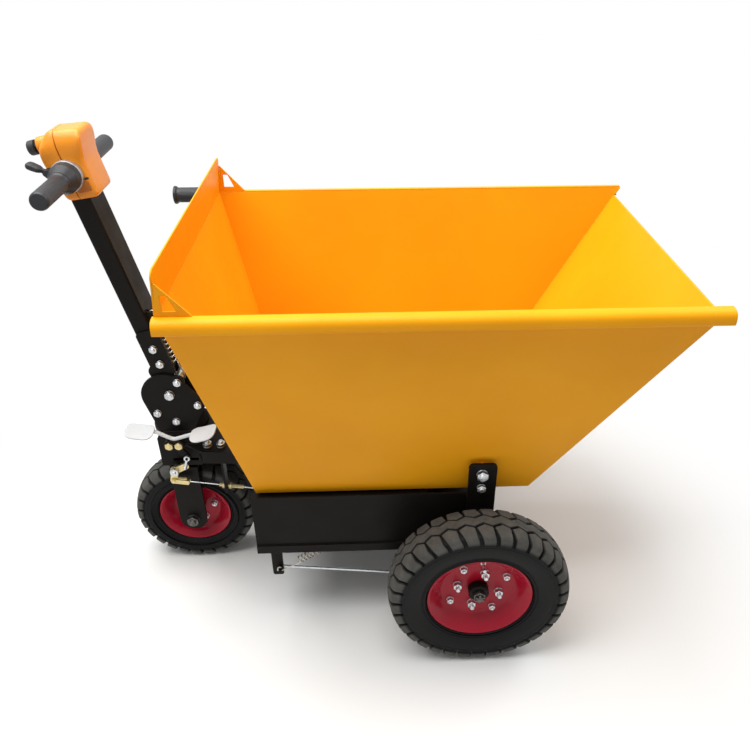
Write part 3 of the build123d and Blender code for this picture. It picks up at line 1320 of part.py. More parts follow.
link_mid = (LINK_EYE[0] + LINK_EYE[1]) / 2
with BuildPart() as brake_link:
    round_y(RING, LINK_EYE, LINK_EYE_R)
    arm_y(RING, LINK_ROD_R, BALL, LINK_ROD_R, (link_mid - LINK_ROD_R, link_mid + LINK_ROD_R))
    with Locations((BALL[0], link_mid, BALL[1])):
        Sphere(LINK_BALL_R)
    round_y(BALL, (link_mid, LINK_IN + LINK_PROUD), LINK_ROD_R)
    round_y(RING, LINK_EYE, LINK_PIN_R + RUN, mode=Mode.SUBTRACT)
save(brake_link, "brake_link")

with BuildPart() as bellcrank:
    round_y(CRANK, LINK_PLATE, CRANK_HUB_R)
    arm_y(CRANK, CRANK_ARM_R, BALL, LINK_END_R, LINK_PLATE)
    arm_y(CRANK, CRANK_ARM_R, CLEVIS, LINK_END_R, LINK_PLATE)
    round_y(CRANK, LINK_PLATE, CRANK_STUD_R + RUN, mode=Mode.SUBTRACT)
    round_y(BALL, LINK_PLATE, LINK_ROD_R + LOOSE, mode=Mode.SUBTRACT)
    round_y(CLEVIS, LINK_PLATE, LINK_PIN_R + LOOSE, mode=Mode.SUBTRACT)
save(bellcrank, "bellcrank")

# Brake cable: a clevis at each end and a straight wire through the adjuster
RELAY = (RELAY_X, RELAY_Z)
CABLE_ARM = (RELAY_X, CABLE_ARM_Z)
CABLE_LENGTH = math.hypot(CABLE_ARM[0] - CLEVIS[0], CABLE_ARM[1] - CLEVIS[1])
CABLE_DIR = ((CABLE_ARM[0] - CLEVIS[0]) / CABLE_LENGTH, 0, (CABLE_ARM[1] - CLEVIS[1]) / CABLE_LENGTH)
CLEVIS_OUT = LINK_T / 2 + CLEVIS_SIDE + CLEVIS_T


def cable_side(y):
    """Upright plane at this Y, its own x along the cable from the bellcrank's pin."""
    return Plane(origin=(CLEVIS[0], y, CLEVIS[1]), x_dir=CABLE_DIR, z_dir=(0, -1, 0))


def cable_section(along):
    """Plane across the cable, this far from the bellcrank's pin."""
    x = CLEVIS[0] + along * CABLE_DIR[0]
    z = CLEVIS[1] + along * CABLE_DIR[2]
    return Plane(origin=(x, CABLE_Y, z), x_dir=(0, 1, 0), z_dir=CABLE_DIR)


with BuildPart() as brake_cable:
    for pin_at, reach in ((0, CLEVIS_L), (CABLE_LENGTH, -RELAY_CLEVIS_L)):
        for low_y in (-CLEVIS_OUT, CLEVIS_OUT - CLEVIS_T):
            with BuildSketch(cable_side(CABLE_Y + low_y + CLEVIS_T)):
                with Locations((pin_at, 0)):
                    Circle(CLEVIS_H / 2)
                with Locations((pin_at + reach - math.copysign(CLEVIS_T / 2, reach), 0)):
                    Rectangle(CLEVIS_T, CLEVIS_H)
                make_hull()
            extrude(amount=CLEVIS_T)
        with BuildSketch(cable_section(pin_at + reach)):
            Rectangle(2 * CLEVIS_OUT, CLEVIS_H)
        extrude(amount=-math.copysign(2 * CLEVIS_T, reach))
        end = (CLEVIS[0] + pin_at * CABLE_DIR[0], CLEVIS[1] + pin_at * CABLE_DIR[2])
        round_y(end, (CABLE_Y - CLEVIS_OUT, CABLE_Y + CLEVIS_OUT), LINK_PIN_R)
    with BuildSketch(cable_section(CLEVIS_L - CLEVIS_T)):
        Circle(WIRE_R)
    extrude(amount=CABLE_LENGTH - RELAY_CLEVIS_L - CLEVIS_L + 2 * CLEVIS_T)
save(brake_cable, "brake_cable")


def neck_half(x):
    """Half width of the neck platform at this X."""
    part = (x - CHASSIS_REAR) / (NECK_TAPER_X - CHASSIS_REAR)
    return NECK_HALF + (NECK_TAPER_HALF - NECK_HALF) * part


STOP_AT = (STOP_X + STOP_T / 2 - CLEVIS[0]) / CABLE_DIR[0]
NECK_UNDER = NECK_Z - NECK_SKIRT
with BuildPart() as cable_stop:
    stop_y = (-neck_half(STOP_X), CABLE_Y + STOP_W / 2)
    block((STOP_X, STOP_X + STOP_T), stop_y, (cable_z(STOP_X) - STOP_W / 2, NECK_UNDER))
    with BuildSketch(cable_section(STOP_AT - STOP_T)):
        Circle(ADJUSTER_R + RUN)
    extrude(amount=2 * STOP_T, mode=Mode.SUBTRACT)
save(cable_stop, "cable_stop")

with BuildPart() as cable_adjuster:
    with BuildSketch(cable_section(STOP_AT - ADJUSTER_REAR)):
        Circle(ADJUSTER_R)
    extrude(amount=ADJUSTER_REAR + ADJUSTER_FRONT)
    for start in (STOP_AT - STOP_T - ADJUSTER_NUT_H, STOP_AT + STOP_T):
        with BuildSketch(cable_section(start)):
            RegularPolygon(ADJUSTER_NUT / 2, 6, major_radius=False)
        extrude(amount=ADJUSTER_NUT_H)
    with BuildSketch(cable_section(STOP_AT - ADJUSTER_REAR)):
        Circle(WIRE_R + LOOSE / 2)
    extrude(amount=ADJUSTER_REAR + ADJUSTER_FRONT, mode=Mode.SUBTRACT)
save(cable_adjuster, "cable_adjuster")

# Brake relay shaft with its cable arm and two posts, the rods and the cam levers
with BuildPart() as brake_relay:
    round_y(RELAY, (GAP - INNER_HALF, INNER_HALF - GAP), RELAY_R)
    arm_y(RELAY, RELAY_HUB_R, CABLE_ARM, LINK_END_R, LINK_PLATE)
    round_y(CABLE_ARM, LINK_PLATE, LINK_PIN_R + LOOSE, mode=Mode.SUBTRACT)
    for side in (1, -1):
        post_y = (side * POST_Y - POST_T / 2, side * POST_Y + POST_T / 2)
        with BuildSketch(side_view(post_y[1])):
            with Locations(RELAY):
                Circle(POST_W / 2)
            with Locations((RELAY_X, POST_FOOT_Z + POST_W / 2)):
                RectangleRounded(POST_W, POST_W, POST_CORNER)
            make_hull()
            with Locations((RELAY_X, ROD_Z)):
                Circle(ROD_R + ROD_FIT, mode=Mode.SUBTRACT)
        extrude(amount=POST_T)
        outer_end = side * (POST_Y + RETURN_Y + LUG_HALF)
        round_y(POST_PIN, sorted((side * POST_Y, outer_end)), SPRING_PIN_R)
save(brake_relay, "brake_relay")

LEVER_END = (
    CAM_X + CAM_LEVER_L * math.sin(math.radians(CAM_LEAN)),
    CAM_Z - CAM_LEVER_L * math.cos(math.radians(CAM_LEAN)),
)
with BuildPart() as cam_levers:
    for side in (1, -1):
        lever_y = (side * POST_Y - CAM_LEVER_T / 2, side * POST_Y + CAM_LEVER_T / 2)
        arm_y(CAM, CAM_HUB_R, LEVER_END, CAM_LEVER_R, lever_y)
        round_y(CAM, sorted((side * POST_Y, side * (AXLE_END + BACKPLATE_T))), CAM_R)
        round_y(LEVER_END, lever_y, ROD_R + LOOSE, mode=Mode.SUBTRACT)
save(cam_levers, "cam_levers")

with BuildPart() as brake_rods:
    for side in (1, -1):
        run_y = side * (POST_Y - ROD_INSET)
        end_y = side * (POST_Y + POST_T / 2)
        with BuildLine() as rod_path:
            FilletPolyline(
                (RELAY_X, end_y, ROD_Z),
                (RELAY_X, run_y, ROD_Z),
                (LEVER_END[0], run_y, LEVER_END[1]),
                (LEVER_END[0], end_y, LEVER_END[1]),
                radius=ROD_BEND,
            )
        with BuildSketch(Plane(origin=(RELAY_X, end_y, ROD_Z), z_dir=(0, -side, 0))):
            Circle(ROD_R)
        sweep(path=rod_path.wires()[0])
save(brake_rods, "brake_rods")


# Wheels
def wheel_profile(center, side):
    """Plane through a wheel's axis: its own x runs outward along the axle and its y is the radius."""
    return Plane(origin=center, x_dir=(0, side, 0), z_dir=(side, 0, 0))


def wheel_face(center, side, out):
    """Plane square to the axle, this far outward from the wheel's middle."""
    return Plane(origin=(center[0], center[1] + side * out, center[2]), x_dir=(1, 0, 0), z_dir=(0, side, 0))


def wheel_axis(center):
    return Axis(center, (0, 1, 0))


def make_tyre(center, side, radius, width, seat_r, flange_r, rim_half, lugs):
    """A hollow tyre with angled tread grooves cut from its shoulders to its centre rib."""
    half = width / 2
    bead_r = seat_r + GAP
    heel = rim_half - RIM_SHEET - GAP
    toe = heel - BEAD_W
    low_tread = radius - SHOULDER_DROP
    bulge_r = (flange_r + low_tread) / 2 + SHOULDER_IN
    edge = half - SHOULDER_IN
    with BuildPart() as groove:
        with BuildSketch(wheel_profile(center, 1)):
            Polygon(
                (CROWN_RIB, radius + GAP),
                (half + GAP, radius + GAP),
                (half + GAP, low_tread),
                (half - GROOVE_DEPTH / 2, low_tread),
                (edge - GROOVE_DEPTH / 2, radius - CROWN_FALL - GROOVE_DEPTH),
                (CROWN_RIB, radius - GROOVE_DEPTH),
            )
        extrude(amount=GROOVE_W / 2, both=True)
    turned = groove.part.rotate(Axis((center[0], center[1] + half / 2, 0), (0, 0, 1)), GROOVE_SLANT)
    other = turned.rotate(Axis(center, (0, 0, 1)), 180)
    pitch = 360 / lugs
    cuts = [turned.rotate(wheel_axis(center), k * pitch) for k in range(lugs)]
    cuts += [other.rotate(wheel_axis(center), (k + 0.5) * pitch) for k in range(lugs)]
    with BuildPart() as tyre:
        with BuildSketch(wheel_profile(center, side)):
            with BuildLine():
                for m in (1, -1):
                    Line((m * toe, bead_r), (m * heel, bead_r))
                    Line((m * heel, bead_r), (m * heel, flange_r + RIM_SHEET))
                    ThreePointArc(
                        (m * heel, flange_r + RIM_SHEET),
                        (m * (half - SHOULDER_IN / 2), (flange_r + bulge_r) / 2),
                        (m * half, bulge_r),
                    )
                    Line((m * half, bulge_r), (m * half, low_tread))
                    Line((m * half, low_tread), (m * edge, radius - CROWN_FALL))
                    Line((m * edge, radius - CROWN_FALL), (m * CROWN_RIB, radius))
                    Line((m * toe, bead_r), (m * toe, bead_r + BEAD_W))
                    Line((m * toe, bead_r + BEAD_W), (m * (half - TYRE_WALL), bulge_r))
                    Line((m * (half - TYRE_WALL), bulge_r), (m * (half - TYRE_WALL), low_tread - TYRE_WALL))
                    Line((m * (half - TYRE_WALL), low_tread - TYRE_WALL), (m * CROWN_RIB, radius - TREAD_T))
                Line((CROWN_RIB, radius), (-CROWN_RIB, radius))
                Line((CROWN_RIB, radius - TREAD_T), (-CROWN_RIB, radius - TREAD_T))
            make_face()
        revolve(axis=wheel_axis(center))
        add(cuts, mode=Mode.SUBTRACT)
    return tyre


def make_rim(center, side, seat_r, flange_r, rim_half, dish_r, bore_r):
    """A split rim: two pressed dishes back to back, each with its bead seat and rolled flange."""
    cone = rim_half - CONE_IN
    with BuildPart() as rim:
        for m in (1, -1):
            with BuildSketch(wheel_profile(center, side)):
                Polygon(
                    (0, bore_r),
                    (m * RIM_SHEET, bore_r),
                    (m * RIM_SHEET, dish_r),
                    (m * cone, seat_r - RIM_SHEET),
                    (m * (rim_half - RIM_SHEET / 2), seat_r - RIM_SHEET / 2),
                    (m * rim_half, flange_r - RIM_SHEET),
                    (m * (rim_half + RIM_SHEET / 2), flange_r),
                    (m * (rim_half - RIM_SHEET / 2), flange_r),
                    (m * (rim_half - RIM_SHEET), flange_r - RIM_SHEET),
                    (m * (rim_half - RIM_SHEET), seat_r),
                    (m * cone, seat_r),
                    (0, dish_r + 2 * RIM_SHEET),
                )
            revolve(axis=wheel_axis(center))
    return rim


def drill(center, side, ring_r, count, turn, radius, out):
    """Holes round a wheel's axle between two places along it."""
    with Locations(wheel_face(center, side, out[0])):
        with PolarLocations(ring_r, count, start_angle=turn):
            hole = (Align.CENTER, Align.CENTER, Align.MIN)
            Cylinder(radius, out[1] - out[0], align=hole, mode=Mode.SUBTRACT)


def ring_of_bolts(center, side, ring_r, count, turn, radius, out, nuts, across):
    """Bolts round a wheel's axle, with hexagons between the places listed in nuts."""
    with Locations(wheel_face(center, side, out[0])):
        with PolarLocations(ring_r, count, start_angle=turn):
            Cylinder(radius, out[1] - out[0], align=(Align.CENTER, Align.CENTER, Align.MIN))
    for low, high in nuts:
        with BuildSketch(wheel_face(center, side, low)) as heads:
            with PolarLocations(ring_r, count, start_angle=turn):
                RegularPolygon(across / 2, 6, major_radius=False)
        extrude(heads.sketch, amount=high - low)


STUD_TURN = RIM_BOLT_TURN + 45.0
DRUM_FACE = -RIM_SHEET - HUB_FLANGE_T
SHAFT_END = AXLE_END - HALF_SHAFT_IN - WHEEL_Y
STUD_HOLE_R = STUD_SIZE / 2 + RUN
RIM_HOLE_R = RIM_BOLT_SIZE / 2 + RUN
for side, name in ((1, "left"), (-1, "right")):
    center = (FRONT_AXLE_X, side * WHEEL_Y, TYRE_R)
    save(
        make_tyre(center, side, TYRE_R, TYRE_W, RIM_SEAT_R, RIM_FLANGE_R, RIM_HALF_W, TYRE_LUGS),
        f"front_tyre_{name}",
    )
    front_rim = make_rim(center, side, RIM_SEAT_R, RIM_FLANGE_R, RIM_HALF_W, RIM_DISH_R, HUB_NOSE_R + RUN)
    with BuildPart() as drilled_rim:
        add(front_rim.part)
        drill(center, side, HUB_STUD_R, WHEEL_BOLTS, STUD_TURN, STUD_HOLE_R, (-RIM_SHEET, RIM_SHEET))
        drill(center, side, RIM_BOLT_R, WHEEL_BOLTS, RIM_BOLT_TURN, RIM_HOLE_R, (-RIM_SHEET, RIM_SHEET))
    save(drilled_rim, f"front_rim_{name}")
    with BuildPart() as front_hub:
        with BuildSketch(wheel_profile(center, side)):
            Polygon(
                (HUB_NOSE_L, 0),
                (HUB_NOSE_L, HUB_NOSE_R - HUB_BEVEL),
                (HUB_NOSE_L - HUB_BEVEL, HUB_NOSE_R),
                (-RIM_SHEET, HUB_NOSE_R),
                (-RIM_SHEET, HUB_FLANGE_R),
                (DRUM_FACE, HUB_FLANGE_R),
                (DRUM_FACE, DRUM_R),
                (DRUM_FACE - DRUM_W, DRUM_R),
                (DRUM_FACE - DRUM_W, DRUM_R - DRUM_WALL),
                (DRUM_FACE - DRUM_WALL, DRUM_R - DRUM_WALL),
                (DRUM_FACE - DRUM_WALL, HALF_SHAFT_R),
                (SHAFT_END, HALF_SHAFT_R),
                (SHAFT_END, 0),
            )
        revolve(axis=wheel_axis(center))
        drill(center, side, HUB_STUD_R, WHEEL_BOLTS, STUD_TURN, STUD_HOLE_R, (DRUM_FACE, -RIM_SHEET))
    save(front_hub, f"front_hub_{name}")
    with BuildPart() as wheel_nuts:
        stud_nut = (RIM_SHEET, RIM_SHEET + STUD_SIZE)
        stud_out = (DRUM_FACE, RIM_SHEET + 2 * STUD_SIZE)
        stud_ring = (HUB_STUD_R, WHEEL_BOLTS, STUD_TURN)
        ring_of_bolts(center, side, *stud_ring, STUD_SIZE / 2, stud_out, (stud_nut,), WHEEL_NUT)
        rim_nut = (RIM_SHEET, RIM_SHEET + RIM_BOLT_SIZE)
        rim_head = (-RIM_SHEET - RIM_BOLT_SIZE / 2, -RIM_SHEET)
        rim_out = (-RIM_SHEET, RIM_SHEET + 1.5 * RIM_BOLT_SIZE)
        rim_ring = (RIM_BOLT_R, WHEEL_BOLTS, RIM_BOLT_TURN)
        ring_of_bolts(center, side, *rim_ring, RIM_BOLT_SIZE / 2, rim_out, (rim_nut, rim_head), RIM_NUT)
        with BuildSketch(wheel_face(center, side, HUB_NOSE_L)):
            RegularPolygon(HUB_NUT / 2, 6, major_radius=False)
        extrude(amount=HUB_NUT_H)
        with BuildSketch(wheel_face(center, side, RIM_SHEET)):
            with PolarLocations(VALVE_RING_R, 1, start_angle=VALVE_TURN):
                Circle(VALVE_R)
        extrude(amount=VALVE_L)
    save(wheel_nuts, f"wheel_nuts_{name}")

rear_center = (STEER_X, 0, REAR_TYRE_R)
rear_ring = (REAR_BOLT_R, REAR_BOLTS, REAR_BOLT_TURN)
rear_sizes = (REAR_SEAT_R, REAR_FLANGE_R, REAR_HALF_W)
save(make_tyre(rear_center, -1, REAR_TYRE_R, REAR_TYRE_W, *rear_sizes, REAR_LUGS), "rear_tyre")
rear_dish = make_rim(rear_center, -1, *rear_sizes, REAR_DISH_R, REAR_HUB_R + RUN)
with BuildPart() as rear_rim:
    add(rear_dish.part)
    drill(rear_center, -1, *rear_ring, RIM_HOLE_R, (-RIM_SHEET, RIM_SHEET))
save(rear_rim, "rear_rim")

with BuildPart() as rear_hub:
    with BuildSketch(wheel_profile(rear_center, -1)):
        Polygon(
            (REAR_HUB_HALF, REAR_BOLT_SHAFT_R + RUN),
            (REAR_HUB_HALF, REAR_HUB_R),
            (-RIM_SHEET, REAR_HUB_R),
            (-RIM_SHEET, REAR_BOLT_R + RIM_BOLT_SIZE),
            (-RIM_SHEET - HUB_FLANGE_T, REAR_BOLT_R + RIM_BOLT_SIZE),
            (-RIM_SHEET - HUB_FLANGE_T, REAR_HUB_R),
            (-REAR_HUB_HALF, REAR_HUB_R),
            (-REAR_HUB_HALF, REAR_BOLT_SHAFT_R + RUN),
        )
    revolve(axis=wheel_axis(rear_center))
    drill(rear_center, -1, *rear_ring, RIM_HOLE_R, (-RIM_SHEET - HUB_FLANGE_T, -RIM_SHEET))
save(rear_hub, "rear_hub")

with BuildPart() as rear_wheel_nuts:
    rear_out = (-RIM_SHEET - HUB_FLANGE_T, RIM_SHEET + 1.5 * RIM_BOLT_SIZE)
    rear_nut = (RIM_SHEET, RIM_SHEET + RIM_BOLT_SIZE)
    rear_head = (-RIM_SHEET - HUB_FLANGE_T - RIM_BOLT_SIZE / 2, -RIM_SHEET - HUB_FLANGE_T)
    ring_of_bolts(rear_center, -1, *rear_ring, RIM_BOLT_SIZE / 2, rear_out, (rear_nut, rear_head), RIM_NUT)
save(rear_wheel_nuts, "rear_wheel_nuts")
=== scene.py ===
# %% [markdown]
# # Dressing an electric hopper trolley
# The real machine is a black steel chassis on three wheels, with an orange-yellow hopper that tips over
# the front axle and a tiller that steers the rear wheel. Its solids come packed in real sizes and in one
# frame. They could be modelled again here, but then they would no longer fit the moving parts, so they
# are loaded as a fixed frame. Plates and tubes keep their solids and get a finish. What the eye reads as
# detail, such as tyre tread, springs, nuts and grips, is worked out below as surfaces and takes the place
# of its plain solid.

# %% Load the frame
import json
import math

import bmesh
import bpy
import numpy as np
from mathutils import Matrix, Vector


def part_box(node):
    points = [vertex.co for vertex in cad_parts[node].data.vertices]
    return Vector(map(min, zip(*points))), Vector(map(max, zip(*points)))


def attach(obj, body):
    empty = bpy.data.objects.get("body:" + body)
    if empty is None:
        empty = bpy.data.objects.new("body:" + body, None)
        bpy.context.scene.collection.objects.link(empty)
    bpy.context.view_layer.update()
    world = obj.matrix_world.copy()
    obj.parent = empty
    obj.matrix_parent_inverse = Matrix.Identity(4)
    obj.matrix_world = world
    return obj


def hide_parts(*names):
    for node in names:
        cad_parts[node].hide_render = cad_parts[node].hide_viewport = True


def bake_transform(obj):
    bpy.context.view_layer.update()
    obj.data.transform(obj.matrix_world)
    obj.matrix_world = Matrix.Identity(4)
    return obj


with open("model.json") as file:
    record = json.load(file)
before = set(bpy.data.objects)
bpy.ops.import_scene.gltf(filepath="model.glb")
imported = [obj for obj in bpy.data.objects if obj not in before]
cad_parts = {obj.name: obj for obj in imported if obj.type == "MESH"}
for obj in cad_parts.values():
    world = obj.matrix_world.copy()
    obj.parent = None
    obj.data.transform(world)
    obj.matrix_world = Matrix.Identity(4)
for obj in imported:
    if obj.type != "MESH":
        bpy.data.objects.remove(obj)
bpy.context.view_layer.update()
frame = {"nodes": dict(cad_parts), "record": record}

MM = 0.001
scene = bpy.context.scene

# %% [markdown]
# ## The camera
# The photograph was taken from the machine's right-hand side, a little above head height. Its place could
# be found by eye, but the wheels, rims and hopper corners fix it better: the values below are the camera
# for which those known points fall on their places in the picture. Its frame is square, 750 by 750.

# %% Camera at the photograph's view
FRAME_PX = 750
EYE = (0.007, -1.4163, 1.439)
YAW = math.radians(2.2902)
PITCH = math.radians(32.6055)
FOCAL_PX = 720.9
AXIS_PX = (395.0, 374.5)
SENSOR = 36.0
camera = bpy.data.objects.new("photo_camera", bpy.data.cameras.new("photo_camera"))
scene.collection.objects.link(camera)
camera.location = EYE
camera.rotation_euler = (math.pi / 2 - PITCH, 0, -YAW)
camera.data.sensor_width = SENSOR
camera.data.lens = SENSOR * FOCAL_PX / FRAME_PX
camera.data.shift_x = (FRAME_PX / 2 - AXIS_PX[0]) / FRAME_PX
camera.data.shift_y = (AXIS_PX[1] - FRAME_PX / 2) / FRAME_PX
scene.camera = camera
print("lens", round(camera.data.lens, 2), "mm")

# %% [markdown]
# ## Colours and shader nodes
# A finish is a small graph of shader nodes. One function turns a colour from its hex value, as a picture
# editor shows it, to the linear numbers that a shader works in. One function adds a node, sets it and
# links it, so that each finish below reads as a short list of what the eye sees.


# %% Colour and node helpers
def linear(code):
    """sRGB hex to linear RGBA: c / 12.92 below 0.04045, else ((c + 0.055) / 1.055) to the power 2.4."""
    c = np.array([int(code[i:i + 2], 16) for i in (1, 3, 5)]) / 255
    c = np.where(c <= 0.04045, c / 12.92, ((c + 0.055) / 1.055) ** 2.4)
    return (*c.tolist(), 1.0)


def put(tree, kind, inputs=None, **fields):
    """Adds one node. Fields are its settings. Inputs, by socket, are values, output sockets or nodes.

    A node given as an input is linked from the first of its outputs that is in use.
    """
    made = tree.nodes.new("ShaderNode" + kind)
    for field, value in fields.items():
        setattr(made, field, value)
    for key, value in (inputs or {}).items():
        if isinstance(value, bpy.types.Node):
            value = next(socket for socket in value.outputs if socket.enabled)
        if isinstance(value, bpy.types.NodeSocket):
            tree.links.new(value, made.inputs[key])
        else:
            made.inputs[key].default_value = value
    return made


def new_finish(name):
    """An empty material: returns it, its node tree and the Object coordinates."""
    material = bpy.data.materials.new(name)
    material.use_nodes = True
    tree = material.node_tree
    tree.nodes.clear()
    return material, tree, put(tree, "TexCoord").outputs["Object"]


print("node helpers ready")

# %% [markdown]
# ## The stage
# The product stands on a plain pale floor in soft studio light. A dark ground would make the black
# chassis hard to read, so floor and world are near white. The world shows full white to the camera and to
# reflections, while the light that it gives stays plain, so that each colour renders about as it is
# written. The floor keeps its shadow near the wheels and fades to the same white further out.

# %% Floor
FLOOR_SIDE = 14.0
FLOOR_MIDDLE = (0.05, 0.0, 0.0)
# Metres from the middle: the shadow is whole up to the first, and all is white from the second
SHADOW_TO, WHITE_FROM = 0.5, 1.35
WHITE = linear("#FFFFFF")


def looking_rays(tree):
    """One for rays that show the background to the camera, in a reflection or through glass, else zero."""
    path = put(tree, "LightPath").outputs
    seen = put(tree, "Math", {0: path["Is Camera Ray"], 1: path["Is Glossy Ray"]}, operation="MAXIMUM")
    return put(tree, "Math", {0: seen, 1: path["Is Transmission Ray"]}, operation="MAXIMUM")


corner = FLOOR_SIDE / 2
floor_corners = [(-corner, -corner, 0), (corner, -corner, 0), (corner, corner, 0), (-corner, corner, 0)]
floor_mesh = bpy.data.meshes.new("floor")
floor_mesh.from_pydata(floor_corners, [], [(0, 1, 2, 3)])
floor = bpy.data.objects.new("floor", floor_mesh)
scene.collection.objects.link(floor)
floor_paint, tree, at = new_finish("pale_floor")
matt = put(tree, "BsdfPrincipled", {"Base Color": linear("#F7F7F5"), "Roughness": 0.9})
away = put(tree, "VectorMath", {0: at, 1: FLOOR_MIDDLE}, operation="DISTANCE")
fade = put(tree, "MapRange", {"Value": away, "From Min": SHADOW_TO, "From Max": WHITE_FROM},
           interpolation_type="SMOOTHSTEP")
share = put(tree, "Math", {0: fade, 1: looking_rays(tree)}, operation="MULTIPLY")
glow = put(tree, "Emission", {"Color": WHITE, "Strength": 1.0})
put(tree, "OutputMaterial", {"Surface": put(tree, "MixShader", {0: share, 1: matt, 2: glow})})
floor_mesh.materials.append(floor_paint)
print("floor laid,", FLOOR_SIDE, "m wide")

# %% World and lamps
WORLD_LEVEL = 0.29
world = bpy.data.worlds.new("studio")
scene.world = world
world.use_nodes = True
sky = world.node_tree
sky.nodes.clear()
lit = put(sky, "Background", {"Color": WHITE, "Strength": WORLD_LEVEL})
shown = put(sky, "Background", {"Color": WHITE, "Strength": 1.0})
put(sky, "OutputWorld", {"Surface": put(sky, "MixShader", {0: looking_rays(sky), 1: lit, 2: shown})})


def soft_lamp(name, at, aim, side, watts):
    """A square area lamp at a point, turned towards another."""
    lamp = bpy.data.objects.new(name, bpy.data.lights.new(name, "AREA"))
    lamp.data.size = side
    lamp.data.energy = watts
    lamp.location = at
    way = np.array(aim, float) - np.array(at, float)
    flat = math.hypot(way[0], way[1])
    lamp.rotation_euler = (math.atan2(flat, -way[2]), 0, math.atan2(-way[0], way[1]))
    scene.collection.objects.link(lamp)


soft_lamp("overhead_softbox", at=(-0.7, -0.1, 2.9), aim=(0.1, 0.0, 0.5), side=2.4, watts=120)
soft_lamp("front_fill", at=(1.8, 0.3, 2.2), aim=(-0.25, 0.0, 0.7), side=1.2, watts=23)
scene.view_settings.view_transform = "Standard"
print("stage lit by", len(bpy.data.lights), "lamps")

# %% [markdown]
# ## Painted steel
# Hopper, chassis and rims are sheet and plate steel with sprayed enamel. Sprayed paint is never quite
# flat: it has orange peel, a ripple a few millimetres wide, and its gloss changes a little from place to
# place. A plain colour would look like plastic, so each enamel gets that ripple as bump, slow changes of
# tone, and edges that are slightly rounded and rubbed. The Bevel node finds the edges, because the solids
# themselves have sharp ones.

# %% Enamel
# How wide the patches of tone, rubbing and gloss are, and how high the orange peel is
TONE_MM, RUB_MM, GLOSS_MM, PEEL_HIGH_MM = 250, 18, 55, 0.2
EDGE_SAMPLES = 4


def enamel(name, colour, shade, rubbed, rough, edge_mm, peel_mm=4.0, peel=0.12, coat=0.0, wear=0.35,
           shine=0.15):
    """Sprayed paint: two near tones mixed by slow noise, orange peel as bump, and rubbed edges.

    An edge is where the rounded normal turns off the flat one: their dot product falls from 0.985 to 0.8.
    """
    material, tree, at = new_finish(name)
    slow = put(tree, "TexNoise", {"Vector": at, "Scale": 1 / (TONE_MM * MM), "Detail": 3.0})
    tone = put(tree, "MapRange", {"Value": slow, "From Min": 0.35, "From Max": 0.65})
    body = put(tree, "Mix", {"Factor": tone, "A": linear(colour), "B": linear(shade)}, data_type="RGBA")
    round_edge = put(tree, "Bevel", {"Radius": edge_mm * MM}, samples=EDGE_SAMPLES)
    flat = put(tree, "NewGeometry").outputs["Normal"]
    turn = put(tree, "VectorMath", {0: round_edge, 1: flat}, operation="DOT_PRODUCT")
    edge = put(tree, "MapRange", {"Value": turn, "From Min": 0.985, "From Max": 0.8})
    patch = {"Vector": at, "Scale": 1 / (RUB_MM * MM), "Detail": 4.0, "Roughness": 0.65}
    rub = {"Value": put(tree, "TexNoise", patch), "From Min": 0.45, "From Max": 0.7, "To Max": wear}
    worn = put(tree, "Math", {0: edge, 1: put(tree, "MapRange", rub)}, operation="MULTIPLY")
    skin = put(tree, "Mix", {"Factor": worn, "A": body, "B": linear(rubbed)}, data_type="RGBA")
    gloss = put(tree, "TexNoise", {"Vector": at, "Scale": 1 / (GLOSS_MM * MM), "Detail": 5.0})
    sheen = {"Value": gloss, "From Min": 0.3, "From Max": 0.7,
             "To Min": rough - 0.06, "To Max": rough + 0.08}
    ripple = put(tree, "TexNoise", {"Vector": at, "Scale": 1 / (peel_mm * MM), "Detail": 1.0})
    wavy = {"Strength": peel, "Distance": PEEL_HIGH_MM * MM, "Height": ripple, "Normal": round_edge}
    shader = put(tree, "BsdfPrincipled", {
        "Base Color": skin, "Roughness": put(tree, "MapRange", sheen), "Normal": put(tree, "Bump", wavy),
        "Specular IOR Level": shine, "Coat Weight": coat, "Coat Roughness": 0.08,
    })
    put(tree, "OutputMaterial", {"Surface": shader})
    return material


hopper_enamel = enamel("gloss_yellow_orange_enamel", "#F2A511", "#EC9E0F", "#FFC83C",
                       rough=0.42, edge_mm=2.2, peel=0.08)
black_enamel = enamel("satin_black_enamel", "#120F0D", "#181614", "#3A3734",
                      rough=0.42, edge_mm=1.2, peel=0.2, shine=0.1)
crimson_enamel = enamel("gloss_crimson_enamel", "#AC122C", "#9F1028", "#CF4A58",
                        rough=0.2, edge_mm=1.2, coat=0.12, wear=0.2)
white_enamel = enamel("gloss_white_enamel", "#D3D7DA", "#CBCFD2", "#FFFFFF",
                      rough=0.3, edge_mm=0.8, coat=0.2)
motor_enamel = enamel("dull_black_casting_paint", "#232323", "#2D2C2B", "#555350",
                      rough=0.6, edge_mm=1.5, peel_mm=2.5, peel=0.5)
print("enamels made")

# %% [markdown]
# ## Plated steel
# Nuts, bolts, rods and springs are zinc plated: bright ones are bluish, and the yellow ones are
# passivated in a bath that leaves a gold film of uneven thickness. The rear axle and the castle nuts are
# plain oiled steel. A grey paint would not follow the light as they do, so all are metals, whose colour
# comes from the reflection. Scratches turn the gloss from place to place. Real ones are finer than the
# picture can show, so they are drawn about a millimetre wide.

# %% Metals
BLOTCH_MM, SCRATCH_MM, SCRATCH_DEEP_MM = 8, 1.1, 0.05


